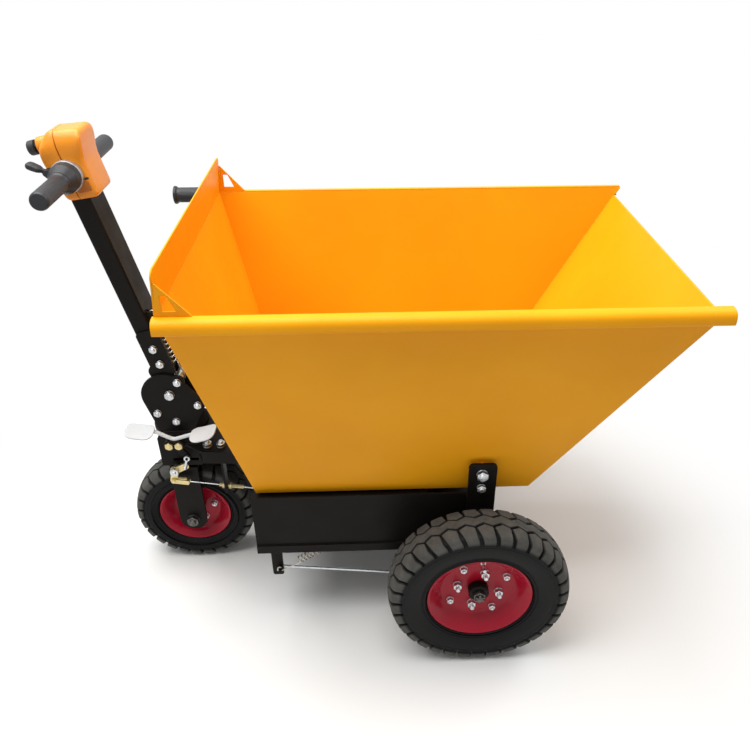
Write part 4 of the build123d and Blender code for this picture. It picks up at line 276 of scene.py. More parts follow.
def metal(name, colour, tint, rough, edge_mm=0.4):
    """Metal skin: two tints mixed by blotches a few millimetres wide, scratches in roughness and bump."""
    material, tree, at = new_finish(name)
    blotch = put(tree, "TexNoise", {"Vector": at, "Scale": 1 / (BLOTCH_MM * MM), "Detail": 4.0})
    tone = put(tree, "MapRange", {"Value": blotch, "From Min": 0.35, "From Max": 0.68})
    body = put(tree, "Mix", {"Factor": tone, "A": linear(colour), "B": linear(tint)}, data_type="RGBA")
    grain = put(tree, "TexNoise", {"Vector": at, "Scale": 1 / (SCRATCH_MM * MM), "Detail": 2.0})
    sheen = {"Value": grain, "From Min": 0.3, "From Max": 0.7,
             "To Min": rough - 0.07, "To Max": rough + 0.1}
    round_edge = put(tree, "Bevel", {"Radius": edge_mm * MM}, samples=EDGE_SAMPLES)
    scratch = {"Strength": 0.15, "Distance": SCRATCH_DEEP_MM * MM, "Height": grain, "Normal": round_edge}
    shader = put(tree, "BsdfPrincipled", {
        "Base Color": body, "Roughness": put(tree, "MapRange", sheen), "Normal": put(tree, "Bump", scratch),
        "Metallic": 1.0,
    })
    put(tree, "OutputMaterial", {"Surface": shader})
    return material


bright_zinc = metal("bright_zinc_plate", "#D9DBDC", "#BFC3C6", rough=0.3)
yellow_zinc = metal("yellow_passivated_zinc", "#DCCB90", "#C9B78E", rough=0.36)
spring_zinc = metal("zinc_spring_wire", "#CFCBC0", "#B7B2A5", rough=0.35)
ground_steel = metal("ground_bearing_steel", "#C4C6C8", "#AEB1B3", rough=0.25)
dark_steel = metal("oiled_dark_steel", "#6E6C68", "#4A4845", rough=0.4)
cast_alloy = metal("die_cast_alloy", "#B5B6B6", "#A0A1A1", rough=0.5)
print("metals made")

# %% [markdown]
# ## Rubber and plastic
# Grips and pads are soft rubber, the tiller head is moulded plastic. Moulds are spark eroded, which
# leaves a fine even grain, so both get small pits as bump. The pits are drawn a little more than a
# millimetre wide, coarser than real ones, so that they show. The tyres get their rubber with the tread,
# because their pale tone on the block tops follows the blocks. That tone is partly dust and partly a
# painted highlight.

# %% Moulded finishes
MOULD_TONE_MM, PIT_DEEP_MM = 70, 0.1


def moulded(name, colour, shade, rough, grain_mm, grain, edge_mm):
    """Moulded skin: even pits as bump, slow changes of tone and gloss, and slightly rounded edges."""
    material, tree, at = new_finish(name)
    slow = put(tree, "TexNoise", {"Vector": at, "Scale": 1 / (MOULD_TONE_MM * MM), "Detail": 4.0})
    tone = put(tree, "MapRange", {"Value": slow, "From Min": 0.35, "From Max": 0.65})
    body = put(tree, "Mix", {"Factor": tone, "A": linear(colour), "B": linear(shade)}, data_type="RGBA")
    sheen = {"Value": slow, "From Min": 0.3, "From Max": 0.7,
             "To Min": rough - 0.06, "To Max": rough + 0.06}
    round_edge = put(tree, "Bevel", {"Radius": edge_mm * MM}, samples=EDGE_SAMPLES)
    pits = put(tree, "TexVoronoi", {"Vector": at, "Scale": 1 / (grain_mm * MM)}).outputs["Distance"]
    pitted = {"Strength": grain, "Distance": PIT_DEEP_MM * MM, "Height": pits, "Normal": round_edge}
    shader = put(tree, "BsdfPrincipled", {
        "Base Color": body, "Roughness": put(tree, "MapRange", sheen), "Normal": put(tree, "Bump", pitted),
        "Specular IOR Level": 0.3,
    })
    put(tree, "OutputMaterial", {"Surface": shader})
    return material


orange_plastic = moulded("satin_orange_abs", "#E48D22", "#DB851C",
                         rough=0.24, grain_mm=1.2, grain=0.15, edge_mm=2.5)
# The switch cover's brown-orange is the head's orange darkened as painted shade
shade_darkened_cover_plastic = moulded("shade_darkened_orange_switch_cover", "#B4661B", "#A85D17",
                        rough=0.4, grain_mm=1.2, grain=0.2, edge_mm=0.5)
black_plastic = moulded("moulded_black_nylon", "#232426", "#2B2C2E",
                        rough=0.5, grain_mm=1.0, grain=0.3, edge_mm=0.8)
grip_rubber = moulded("soft_dark_grip_rubber", "#26272A", "#2F3033",
                      rough=0.42, grain_mm=1.4, grain=0.4, edge_mm=1.0)
battery_plastic = moulded("dark_polypropylene_case", "#2E3136", "#373A40",
                          rough=0.5, grain_mm=1.5, grain=0.3, edge_mm=1.5)
print("moulded finishes made")

# %% [markdown]
# ## Which solid gets which finish
# The record of the part names a slot for each solid. Each solid could be given its finish by hand, but
# one table of slots forgets none. A solid's own mesh is not touched: only the material in its slot
# changes. The brake link is of bright zinc, unlike its neighbours.

# %% Finishes on the solids
SLOT = {row["node"]: row["material_slot"] for row in frame["record"]["subparts"]}
FINISH = {
    "black_enamel": black_enamel,
    "hopper_enamel": hopper_enamel,
    "crimson_enamel": crimson_enamel,
    "bright_zinc": bright_zinc,
    "yellow_zinc": yellow_zinc,
    "spring_steel": spring_zinc,
    "bearing_steel": ground_steel,
    "battery_case": battery_plastic,
    "cast_aluminium": cast_alloy,
    "motor_enamel": motor_enamel,
    "axle_casting": motor_enamel,
    "orange_plastic": orange_plastic,
    "black_plastic": black_plastic,
    "button_plastic": black_plastic,
    "grip_rubber": grip_rubber,
    "white_enamel": white_enamel,
    "tyre_rubber": grip_rubber,
}
BARE = {"brake_link": bright_zinc}
for node, slot in SLOT.items():
    solid = frame["nodes"][node]
    solid.data.materials.clear()
    solid.data.materials.append(BARE.get(node, FINISH[slot]))
print("finishes on", len(SLOT), "solids")

# %% [markdown]
# ## Surfaces from arrays
# Each surface below is a grid of points: a function of two parameters, worked out for the whole grid at
# once. Four neighbours make a face. Modelling by hand would look the same, but a formula can be checked
# and changed. Sizes are in millimetres, as in the drawing, and turn to metres in one place only.

# %% Grids and pieces
WELD_M = 1e-6


def sheet(points, wrap_rows=False, wrap_columns=True):
    """A grid shaped (..., rows, columns, 3) as a list of points and the four corners of each face."""
    rows, columns = points.shape[-3:-1]
    number = np.arange(points.size // 3).reshape(-1, rows, columns)
    if wrap_rows:
        number = np.concatenate([number, number[:, :1]], 1)
    if wrap_columns:
        number = np.concatenate([number, number[:, :, :1]], 2)
    here, beside = number[..., :-1], number[..., 1:]
    faces = np.stack([here[:, :-1], beside[:, :-1], beside[:, 1:], here[:, 1:]], -1)
    return points.reshape(-1, 3), faces.reshape(-1, 4)


def piece(name, sheets, finish, body=None, sharp=38.0, tags=None):
    """One mesh from several sheets: seams welded, faces turned outward, smooth but for sharp edges.

    It takes the place of the solid of the same name, if there is one.
    """
    clouds, nets = zip(*sheets)
    starts = np.cumsum([0] + [len(cloud) for cloud in clouds])
    points = np.concatenate(clouds) * MM
    faces = np.concatenate([net + start for net, start in zip(nets, starts)])
    mesh = bpy.data.meshes.new(name)
    mesh.vertices.add(len(points))
    mesh.vertices.foreach_set("co", points.ravel())
    mesh.loops.add(faces.size)
    mesh.loops.foreach_set("vertex_index", faces.ravel())
    mesh.polygons.add(len(faces))
    mesh.polygons.foreach_set("loop_start", np.arange(0, faces.size, 4))
    mesh.update(calc_edges=True)
    for tag, values in (tags or {}).items():
        kept = mesh.attributes.new(tag, "FLOAT", "POINT")
        kept.data.foreach_set("value", np.ravel(values).astype(np.float32))
    work = bmesh.new()
    work.from_mesh(mesh)
    bmesh.ops.remove_doubles(work, verts=work.verts, dist=WELD_M)
    bmesh.ops.recalc_face_normals(work, faces=work.faces)
    work.to_mesh(mesh)
    work.free()
    mesh.polygons.foreach_set("use_smooth", np.ones(len(mesh.polygons), bool))
    mesh.set_sharp_from_angle(angle=math.radians(sharp))
    mesh.materials.append(finish)
    made = bpy.data.objects.new(name, mesh)
    scene.collection.objects.link(made)
    if name in SLOT:
        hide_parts(name)
    if body:
        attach(made, body)
    return made


print("grid helpers ready")

# %% [markdown]
# ## Tyres
# The front tyres carry a zigzag rib down the middle and a row of blocks on each shoulder, half a step
# apart. The tread could be a bump texture, but its blocks show against the sky line, so they are real.
# The grid is sheared so that its lines run along the grooves: columns follow the cross grooves, rows
# follow the zigzag. That keeps groove walls clean with few faces. The block tops are painted paler, partly
# as dust and partly as a painted highlight, so the height of each point is kept as an attribute that the
# rubber reads.

# %% Tyre rubber
# How wide patches of dust and painted highlight are, and grit that is drawn coarser so that it shows
DUST_AND_HIGHLIGHT_MM, GRIT_MM, GRIT_HIGH_MM = 22, 1.4, 0.15
tyre_rubber, tree, at = new_finish("tyre_rubber_dust_and_highlight_tread")
# The pale tone on the block tops is partly dust and partly a painted highlight; grooves stay dark
dust_and_highlight = put(tree, "Attribute", attribute_name="dust_and_highlight").outputs["Fac"]
cloud = put(tree, "TexNoise", {"Vector": at, "Scale": 1 / (DUST_AND_HIGHLIGHT_MM * MM), "Detail": 5.0, "Roughness": 0.6})
thick = {"Value": cloud, "From Min": 0.3, "From Max": 0.7, "To Min": 0.55, "To Max": 1.0}
dust_and_highlight_share = put(tree, "Math", {0: dust_and_highlight, 1: put(tree, "MapRange", thick)}, operation="MULTIPLY")
tone = put(tree, "Mix", {"Factor": dust_and_highlight_share, "A": linear("#0F0F0F"), "B": linear("#595854")}, data_type="RGBA")
dull = put(tree, "MapRange", {"Value": dust_and_highlight_share, "To Min": 0.52, "To Max": 0.8})
grit = put(tree, "TexNoise", {"Vector": at, "Scale": 1 / (GRIT_MM * MM), "Detail": 3.0})
gritty = put(tree, "Bump", {"Strength": 0.25, "Distance": GRIT_HIGH_MM * MM, "Height": grit})
skin = {"Base Color": tone, "Roughness": dull, "Normal": gritty, "Specular IOR Level": 0.15}
put(tree, "OutputMaterial", {"Surface": put(tree, "BsdfPrincipled", skin)})
print("tyre rubber made")


# %% Outlines
def rounded(points, cuts, steps=6):
    """Closed outline with round corners.

    A corner C becomes the curve (1-s)^2 A + 2 s (1-s) C + s^2 B, where A and B lie the corner's cut before
    and after it along its two sides.
    """
    corner = np.array(points, float)
    cut = np.broadcast_to(np.asarray(cuts, float), len(corner))[:, None]
    back = np.roll(corner, 1, 0) - corner
    ahead = np.roll(corner, -1, 0) - corner
    a = corner + cut * back / np.linalg.norm(back, axis=1, keepdims=True)
    b = corner + cut * ahead / np.linalg.norm(ahead, axis=1, keepdims=True)
    s = np.linspace(0, 1, steps)[:, None, None]
    curve = (1 - s) ** 2 * a + 2 * s * (1 - s) * corner + s ** 2 * b
    return curve.transpose(1, 0, 2).reshape(-1, 2)


def measured(line):
    """An open line without repeated points, and the length along it to each point."""
    step = np.linalg.norm(np.diff(line, axis=0), axis=1)
    line = line[np.concatenate([[True], step > 1e-6])]
    return line, np.concatenate([[0], np.cumsum(np.linalg.norm(np.diff(line, axis=0), axis=1))])


print("outline helpers ready")

# %% Rows of a tyre
# The sidewall lies this far inside the blocks
WALL_IN = 2.6
# One step of the tread round the wheel: place in the step, share of the cross groove's depth
STEP = np.array([
    (-0.068, 0), (-0.052, 0.1), (-0.036, 1), (0.036, 1), (0.052, 0.1), (0.068, 0),
    (0.14, 0), (0.26, 0), (0.38, 0), (0.5, 0), (0.62, 0), (0.74, 0), (0.86, 0),
])
# Across the zigzag groove: place from its middle, share of its depth
ZIGZAG = [(-3.4, 0), (-2.6, 0.1), (-1.6, 1), (1.6, 1), (2.6, 0.1), (3.4, 0)]
ZIGZAG_HALF = ZIGZAG[-1][0]
# Across a raised ring on the sidewall: place from its middle, depth
RING = np.array([(-1.6, 0), (-0.7, -0.7), (0.7, -0.7), (1.6, 0)])
FAR = 1e3


def tyre_section(half, cuts):
    """The outline from the middle of the tread round the bead to the middle of the lining, measured."""
    half, cuts = np.array(half, float), np.array(cuts, float)
    loop = np.concatenate([half, half[-2:0:-1] * (-1, 1)])
    line = rounded(loop, np.concatenate([cuts, cuts[-2:0:-1]]), 7)
    tread = np.argmin(np.abs(line[:, 0]) + (line[:, 1] < half[0, 1] - 1) * FAR)
    line = np.roll(line, -tread, 0)
    lining = np.argmin(np.abs(line[:, 0]) + (line[:, 1] > half[-1, 1] + 1) * FAR)
    return measured(line[:lining + 1])


def tread_rows(zig, edge, foot, groove):
    """Rows from the tread's middle outward: place, share of zigzag, depth, share of the cross groove."""
    rib = [(0, 0, 0, 0), (zig * 0.3, 0.3, 0, 0), (zig * 0.55, 0.65, 0, 0)]
    rib += [(zig + at, 1, depth * groove, 1 if at > 2 else 0) for at, depth in ZIGZAG]
    block = [(zig + ZIGZAG_HALF + (edge - zig - ZIGZAG_HALF) * k / 6, 1 - k / 6, 0, 1) for k in range(1, 7)]
    side = [(edge + (foot - edge) * k / 5, 0, 0, 1 - 0.3 * k / 5) for k in range(1, 6)]
    step = [(foot + 0.8, 0, 1.6, 0.6), (foot + 2.0, 0, WALL_IN, 0.45), (foot + 4.5, 0, WALL_IN, 0.0)]
    return np.array(rib + block + side + step, float)


def wall_rows(gone, foot, rings, bead):
    """Rows from the blocks' foot to the lining: WALL_IN deep as far as the bead, with raised rings."""
    ridge = np.concatenate([(at, 0) + RING for at in rings])
    plain = gone[gone > foot + 5]
    plain = plain[np.min(np.abs(plain[:, None] - ridge[:, 0]), 1) > 0.8]
    wall = np.concatenate([np.column_stack([plain, 0 * plain]), ridge])
    wall = wall[np.argsort(wall[:, 0])]
    deep = np.where(wall[:, 0] < bead, wall[:, 1] + WALL_IN, 0)
    return np.column_stack([wall[:, 0], 0 * deep, deep, 0 * deep])


print("tyre rows ready,", len(STEP), "columns to a step")

# %% Tyres from a sheared grid
TURN = 2 * np.pi
SPREAD, SWING, SLANT, HALF_STEP = 2.1, 0.32, 0.2, 0.25
# The pale top tone, partly dust and partly painted highlight, fades with groove depth and near the foot
DUST_AND_HIGHLIGHT_DEEP, DUST_AND_HIGHLIGHT_EDGE = 2.5, 6


def tyre(name, body, center, count, half, cuts, zig, edge, foot, groove, rings, bead):
    """A tyre as one closed grid.

    A point at place v and step a lies at angle (a + shear(v)) 2 pi / count, on the section moved inward by
    the groove's depth. The zigzag moves v by a triangle wave of a, and cross grooves spread towards the
    shoulder. Places along the section: zig is the zigzag, edge the shoulder, foot the end of the blocks.
    """
    line, gone = tyre_section(half, cuts)
    rows = np.concatenate([tread_rows(zig, edge, foot, groove), wall_rows(gone, foot, rings, bead)])
    rows = np.concatenate([rows[:0:-1] * (-1, -1, 1, 1), rows])
    place, share, depth, cross = rows.T[..., None]
    outward = (np.abs(place) - zig) / (edge - zig)
    fold = (STEP[:, 0] + 0.5) % 1 - 0.5
    spread = SPREAD * np.clip(outward, 0, 1) * fold * (1 - 2 * np.abs(fold)) ** 2
    a = np.repeat(np.arange(count), len(STEP)) + np.tile(STEP[:, 0] + spread, count)
    dip = np.tile(STEP[:, 1], count)
    wave = 4 * np.abs((a % 1) - 0.5) - 1
    v = place + share * SWING * zig * wave
    deep = np.maximum(depth, cross * dip * groove)
    flank = np.sign(place)
    shear = np.clip(place / zig, -1, 1) * HALF_STEP + flank * (SLANT * np.clip(outward, 0, 1.4))
    angle = (a + shear) * TURN / count
    y = flank * np.interp(np.abs(v), gone, line[:, 0])
    r = np.interp(np.abs(v), gone, line[:, 1])
    tilt = np.gradient(line, gone, axis=0)
    n_y = flank * np.interp(np.abs(v), gone, -tilt[:, 1])
    n_r = np.interp(np.abs(v), gone, tilt[:, 0])
    size = np.maximum(np.hypot(n_y, n_r), 1e-6)
    y = y - deep * n_y / size
    r = r - deep * n_r / size
    # Share of the pale top tone, partly dust and partly painted highlight: whole on block tops, none below
    top = np.clip(1 - deep / DUST_AND_HIGHLIGHT_DEEP, 0, 1) * np.clip((foot - np.abs(v)) / DUST_AND_HIGHLIGHT_EDGE, 0, 1)
    points = np.stack([center[0] + r * np.cos(angle), center[1] + y, center[2] + r * np.sin(angle)], -1)
    piece(name, [sheet(points, wrap_rows=True)], tyre_rubber, body, sharp=32, tags={"dust_and_highlight": top})


FRONT_X, REAR_X, WHEEL_Y = 231.0, -447.0, 344.0
FRONT_R, REAR_R = 198.0, 151.0
FRONT_WHEELS = {"left": (FRONT_X, WHEEL_Y, FRONT_R), "right": (FRONT_X, -WHEEL_Y, FRONT_R)}
REAR_AXLE = (REAR_X, 0, REAR_R)
FRONT_SECTION = [
    (0, 198), (22, 196.5), (42, 190), (47, 172), (47.9, 150), (43, 128), (36.5, 117.5), (29, 113.5),
    (19.5, 104.5), (12, 105), (19.2, 116), (40, 150), (40, 162), (14, 180), (0, 181),
]
FRONT_CUTS = [0, 12, 5, 8, 10, 10, 3, 2, 2, 3, 4, 5, 5, 6, 0]
REAR_SECTION = [
    (0, 151), (22, 149.5), (40.5, 144), (45.5, 128), (46.4, 114), (43, 102), (38.5, 92.5), (31, 88.5),
    (21.5, 79.5), (14, 80), (21.2, 90), (38.5, 106), (38.5, 120), (14, 133), (0, 134),
]
REAR_CUTS = [0, 12, 5, 6, 6, 7, 3, 2, 2, 3, 4, 5, 5, 6, 0]
for name, center in FRONT_WHEELS.items():
    tyre(f"front_tyre_{name}", f"wheel_{name}", center, 33, FRONT_SECTION, FRONT_CUTS,
         zig=13, edge=43, foot=62, groove=8.0, rings=(72, 108), bead=118)
tyre("rear_tyre", "rear_wheel", REAR_AXLE, 26, REAR_SECTION, REAR_CUTS,
     zig=12, edge=41, foot=57, groove=7.0, rings=(66, 86), bead=94)
print("tyres made")

# %% [markdown]
# ## Rims
# The split rims are pressed from sheet: a flat dish that flares to the lip in one smooth funnel. The
# solids have a simpler section with a flat seat and plain corners. They could be kept, but the bends
# catch the light, so the funnel gets its bends here and is spun about the axle.

# %% Pressed rims
LEFT, RIGHT, UP, DOWN = (0, 1, 0), (0, -1, 0), (0, 0, 1), (0, 0, -1)
RIM_T = 3.5
# The funnel from the dish to the lip, as shares of its depth and of its rise
FLARE = np.array([(0, 0), (0.2, 0.235), (0.637, 0.559), (0.93, 0.882), (1, 1)])
FLARE_CUTS = [0, 4.5, 4.5, 7, 2, 0]
DISH_IN, LIP_IN, LIP_OUT = 2.0, 2.4, 1.0


def spun(along, radius, origin, axis, angle):
    """Points at a distance along an axis and at a radius and angle about it; the arrays broadcast."""
    axis = np.array(axis, float)
    aside = np.array((0.0, 0.0, 1.0) if abs(axis[1]) > 0.5 else (0.0, 1.0, 0.0))
    u = np.cross(aside, axis)
    v = np.cross(axis, u)
    ring = np.cos(angle)[..., None] * u + np.sin(angle)[..., None] * v
    return np.array(origin, float) + along[..., None] * axis + radius[..., None] * ring


def revolved(line, origin, axis, steps):
    """A closed line of (along, radius) spun about an axis."""
    angle = np.linspace(0, TURN, steps, endpoint=False)
    grid = spun(line[:, :1] + 0 * angle, line[:, 1:] + 0 * angle, origin, axis, angle)
    return sheet(grid, wrap_rows=True)


def pressed_rim(name, body, center, bore, dish, flange, half):
    """Two dishes back to back.

    The face runs flat from the bore and then flares to the lip in a smooth funnel. The back lies one sheet
    behind it along its normals, a half round joins both at the lip, and the other half is a mirror image.
    """
    deep = half + LIP_OUT - RIM_T
    rise = flange - LIP_IN - (dish - DISH_IN)
    corners = np.vstack([(RIM_T, bore), (RIM_T, dish - DISH_IN) + FLARE * (deep, rise)])
    face, gone = measured(rounded(corners, FLARE_CUTS, 7))
    tilt = np.gradient(face, gone, axis=0)
    tilt /= np.linalg.norm(tilt, axis=1, keepdims=True)
    back = face + RIM_T * tilt[:, ::-1] * (-1, 1)
    middle = (face[-1] + back[-1]) / 2
    bend = np.linspace(0, np.pi, 7)[1:-1, None]
    lip = middle + np.cos(bend) * (face[-1] - middle) + np.sin(bend) * RIM_T / 2 * tilt[-1]
    section = np.concatenate([face, lip, back[back[:, 0] > 0.6][::-1]])
    loop = np.concatenate([section, section[::-1] * (-1, 1)])
    piece(name, [revolved(loop, center, LEFT, 144)], crimson_enamel, body, sharp=45)


for name, center in FRONT_WHEELS.items():
    pressed_rim(f"front_rim_{name}", f"wheel_{name}", center, bore=22.05, dish=82, flange=114, half=34)
pressed_rim("rear_rim", "rear_wheel", REAR_AXLE, bore=20.05, dish=58, flange=89, half=36)
print("rims made")

# %% [markdown]
# ## Nuts, bolts and studs
# A hexagon nut is a hexagon whose corners are cut by a cone, which gives its curved edges. It could be
# cut from a solid, but cuts leave long thin faces. So each fastener here is a list of rows along its
# axis, and the radius at any angle is the smaller of a round and a hexagon. Threads are a saw-tooth that
# climbs one pitch each turn.

# %% Fastener rows
ROUND = np.inf
FACE_SHARE, CONE = 0.47, math.radians(30)


def rows_of(height, radius, flat=ROUND, thread=0.0):
    """Rows of height, radius, half width over flats and thread depth."""
    values = (np.array(height, float), np.array(radius, float), flat, thread)
    return np.column_stack(np.broadcast_arrays(*values))


def nut(low, high, across):
    """Hexagon between two heights; a 30 degree cone cuts its corners at both faces."""
    corner, face = across / math.sqrt(3), FACE_SHARE * across
    part = np.linspace(0, 1, 4)
    rise = (corner - face) * math.tan(CONE) * part
    radius = face + (corner - face) * part
    heights = np.concatenate([low + rise, high - rise[::-1]])
    return rows_of(heights, np.concatenate([radius, radius[::-1]]), across / 2)


def disc(low, high, radius, edge=0.4):
    """Round step between two heights with bevelled edges."""
    return rows_of([low, low + edge, high - edge, high], [radius - edge, radius, radius, radius - edge])


def thread(low, high, radius, pitch=1.5):
    """Threaded end between two heights, coned over its last pitch; its depth is a tenth of its radius."""
    height = np.arange(low, high + 1e-6, pitch / 4)
    return rows_of(height, radius - np.maximum(height - high + pitch, 0) * 0.6, ROUND, 0.1 * radius)


def bolt_end(across, high, shank, proud=3.0, washer=1.6, sunk=3.0):
    """Shank, washer, nut and threaded end, outward from the face that they are tightened on."""
    return [disc(-sunk, 0, shank), disc(0, washer, 0.53 * across), nut(washer, washer + high, across),
            thread(washer + high, washer + high + proud, shank)]


def off_flat(angle):
    """The angle from the middle of the nearest of a hexagon's six flats."""
    return (angle + np.pi / 6) % (np.pi / 3) - np.pi / 6


def turned(parts, origins, axis, steps=36, pitch=1.5):
    """Rows about an axis at each origin: radius = min(round - thread x saw-tooth, flat / cos(off_flat))."""
    rows = np.concatenate(parts)
    rows = np.concatenate([rows_of([rows[0, 0]], [0]), rows, rows_of([rows[-1, 0]], [0])])
    height, radius, flat, depth = rows.T[:, None, :, None]
    angle = np.linspace(0, TURN, steps, endpoint=False)
    tooth = np.abs(2 * ((height / pitch - angle / TURN) % 1) - 1)
    radius = np.minimum(radius - depth * tooth, flat / np.cos(off_flat(angle)))
    origins = np.array(origins, float).reshape(-1, 1, 1, 3)
    return sheet(spun(height, np.maximum(radius, 0), origins, axis, angle))


print("fastener helpers ready")


# %% Wheel nuts, valve and castle nut
def wheel_ring(center, side, radius, count, turn):
    """Origins on a circle about an axle, the first at an angle in degrees."""
    a = np.radians(turn) + TURN * np.arange(count) / count
    ring = np.column_stack([radius * np.cos(a), np.zeros(count), -side * radius * np.sin(a)])
    return np.array(center, float) + ring


def clamp(back):
    """A bolt that clamps the rim: its head behind the sheet, washer, nut and threaded end in front."""
    return [nut(-back - 4, -back, 13), disc(-back, RIM_T, 4), disc(RIM_T, RIM_T + 1.4, 8),
            nut(RIM_T + 1.4, RIM_T + 9, 13), thread(RIM_T + 9, RIM_T + 12, 4)]


STUD = [disc(-11.5, RIM_T, 5), disc(RIM_T, RIM_T + 1.5, 9.5), nut(RIM_T + 1.5, RIM_T + 11, 17),
        thread(RIM_T + 11, RIM_T + 20, 5)]
VALVE = [disc(RIM_T - 2, RIM_T, 4), nut(RIM_T, RIM_T + 3, 11), disc(RIM_T + 3, 10, 4.0),
         thread(10, 20, 3.4, pitch=0.8), disc(20, 29, 4.2, edge=0.8)]
# Fastener, radius of its circle, how many, angle of the first
FRONT_RINGS = [(STUD, 47.5, 4, 75), (clamp(RIM_T), 69, 4, 30), (VALVE, 76, 1, 85)]
# The castle nut is a hexagon and a crown, whose radius drops to the slot's floor near a flat's middle
CASTLE = [nut(24, 33, 24), rows_of(np.arange(33, 34.1, 0.5), 6.5)]
slotted = np.linspace(0, TURN, 72, endpoint=False)
tower = np.where(np.abs(off_flat(slotted)) < 0.2, 6.5, 10.5)
crown_h = np.array([32.0, 33, 37, 38, 38, 38])[:, None] + 0 * tower
crown_r = np.array([1.0, 1, 1, 0.96, 0.5, 0])[:, None] * tower
for name, center in FRONT_WHEELS.items():
    side = np.sign(center[1])
    out = (0, side, 0)
    nuts = [turned(rows, wheel_ring(center, side, *ring), out) for rows, *ring in FRONT_RINGS]
    piece(f"wheel_nuts_{name}", nuts, bright_zinc, f"wheel_{name}")
    castle = [turned(CASTLE, [center], out), sheet(spun(crown_h, crown_r, center, out, slotted))]
    piece(f"castle_nut_{name}", castle, dark_steel, f"wheel_{name}")
rear_nuts = turned(clamp(11.5), wheel_ring(REAR_AXLE, -1, 44, 5, 76), RIGHT)
piece("rear_wheel_nuts", [rear_nuts], bright_zinc, "rear_wheel")
print("wheel fasteners made")

# %% Tiller bolts
LEAN = math.radians(12.5)
PIVOT = (-447.0, 524.0)
CHEEK_BOLTS = [(-425, 557), (-388, 495), (-482, 475), (-443, 451)]
CHEEK_Y, SPACER_Y, YOKE_Y = 51.5, 45.4, 44.2
SMALL_END = bolt_end(across=16, high=6, shank=5, proud=2.4, washer=1.0)
PIVOT_END = bolt_end(across=20, high=8, shank=8, proud=2.4, washer=1.0)


def on_tiller(s, t):
    """The (x, z) of a point s along the tiller from its pivot and t ahead of its middle."""
    x = PIVOT[0] - s * math.sin(LEAN) + t * math.cos(LEAN)
    z = PIVOT[1] + s * math.cos(LEAN) + t * math.sin(LEAN)
    return x, z


def paired(points, face, rows, out=1):
    """The same fastener at points (x, z) on the faces -y and y, outward or, with out = -1, inward."""
    return [turned(rows, [(x, m * face, z) for x, z in points], (0, out * m, 0)) for m in (-1, 1)]


base_bolts = paired(CHEEK_BOLTS, CHEEK_Y, SMALL_END) + paired([PIVOT], CHEEK_Y, PIVOT_END)
base_bolts.append(turned([disc(-SPACER_Y, SPACER_Y, 9)], [(x, 0, z) for x, z in CHEEK_BOLTS], LEFT))
base_bolts.append(turned([disc(-CHEEK_Y, CHEEK_Y, 8)], [(PIVOT[0], 0, PIVOT[1])], LEFT))
piece("base_bolts", base_bolts, bright_zinc, "steering")
yoke_bolts = paired([on_tiller(78, 7.5), on_tiller(117, 7.5)], YOKE_Y, SMALL_END)
piece("yoke_bolts", yoke_bolts, bright_zinc, "tiller")
print("tiller bolts made")

# %% Axle, frame and pedal bolts
FORK_Y, COLLAR_Y, BRACKET_Y, WALL_Y, DECK_Z = 60, 46.8, 275, 260, 390
LOW_BOLTS = [(235.5, 302), (235.5, 340)]
DECK_BOLTS = [(x, m * y, DECK_Z) for x, y in ((-378, 69), (-346, 70)) for m in (-1, 1)]
AXLE_END = bolt_end(across=27, high=11, shank=8, proud=6.0, washer=2.4)
TIP_END = bolt_end(across=22, high=10, shank=8, proud=4.0, sunk=17.5)
BRACKET_END = bolt_end(across=17, high=7, shank=5, sunk=5.0)
DECK_END = bolt_end(across=19, high=8, shank=6, proud=5.0, sunk=6.0)
piece("tip_pivot_bolts", paired([(234, 458)], BRACKET_Y, TIP_END), bright_zinc, "chassis")
rear_axle = paired([(REAR_X, REAR_R)], FORK_Y, AXLE_END)
rear_axle += paired([(REAR_X, REAR_R)], COLLAR_Y, [disc(0, 5.2, 16)])
rear_axle.append(turned([disc(-FORK_Y, FORK_Y, 7.9)], [REAR_AXLE], LEFT))
piece("rear_axle", rear_axle, dark_steel, "steering")
frame_bolts = paired([(234, 422)] + LOW_BOLTS, BRACKET_Y, BRACKET_END)
frame_bolts += paired(LOW_BOLTS, WALL_Y, [nut(0, 7, 17)], out=-1)
frame_bolts.append(turned(DECK_END, DECK_BOLTS, UP))
frame_bolts.append(turned([nut(6, 15, 19)], DECK_BOLTS, DOWN))
piece("frame_bolts", frame_bolts, bright_zinc, "chassis")
pedal_bolt = [disc(-6, 0, 4), nut(0, 6, 17), disc(6, 6.8, 5.5)]
pedal_bolts = turned(pedal_bolt, [(-461, -84, 404), (-439, -84, 404)], RIGHT)
piece("pedal_bolts", [pedal_bolts], yellow_zinc, "pedal")
print("axle, frame and pedal bolts made")

# %% [markdown]
# ## Springs
# The tiller hangs on a coil spring and two more pull the brake relay back. Their solids could be kept,
# but they have few facets. Here the wire's line is worked out in three parts, a hook about the low pin,
# the coil, and a hook about the high pin, and a round wire is swept along it. The springs stay where they
# are built and are not set on a body.

# %% Coil springs
WIRE_R = 1.5
HOOK_BEND = 1.35 * np.pi
POINTS_PER_TURN = 26


def tube(path, normal, radius, steps=14):
    """A round bar along a path.

    Its circle lies on the normal, squared to the path, and on the cross product of the two.
    """
    normal = np.array(normal, float)
    way = np.gradient(path, axis=0)
    way /= np.linalg.norm(way, axis=1, keepdims=True)
    side = normal - way * np.sum(way * normal, 1, keepdims=True)
    side /= np.linalg.norm(side, axis=1, keepdims=True)
    other = np.cross(way, side)
    angle = np.linspace(0, TURN, steps, endpoint=False)[:, None]
    radius = np.broadcast_to(radius, len(path)).astype(float)
    ring = np.cos(angle) * side[:, None] + np.sin(angle) * other[:, None]
    skin = path[:, None] + radius[:, None, None] * ring
    ends = np.broadcast_to(path[[0, -1], None], (2, steps, 3))
    return sheet(np.concatenate([ends[:1], skin, ends[1:]]))


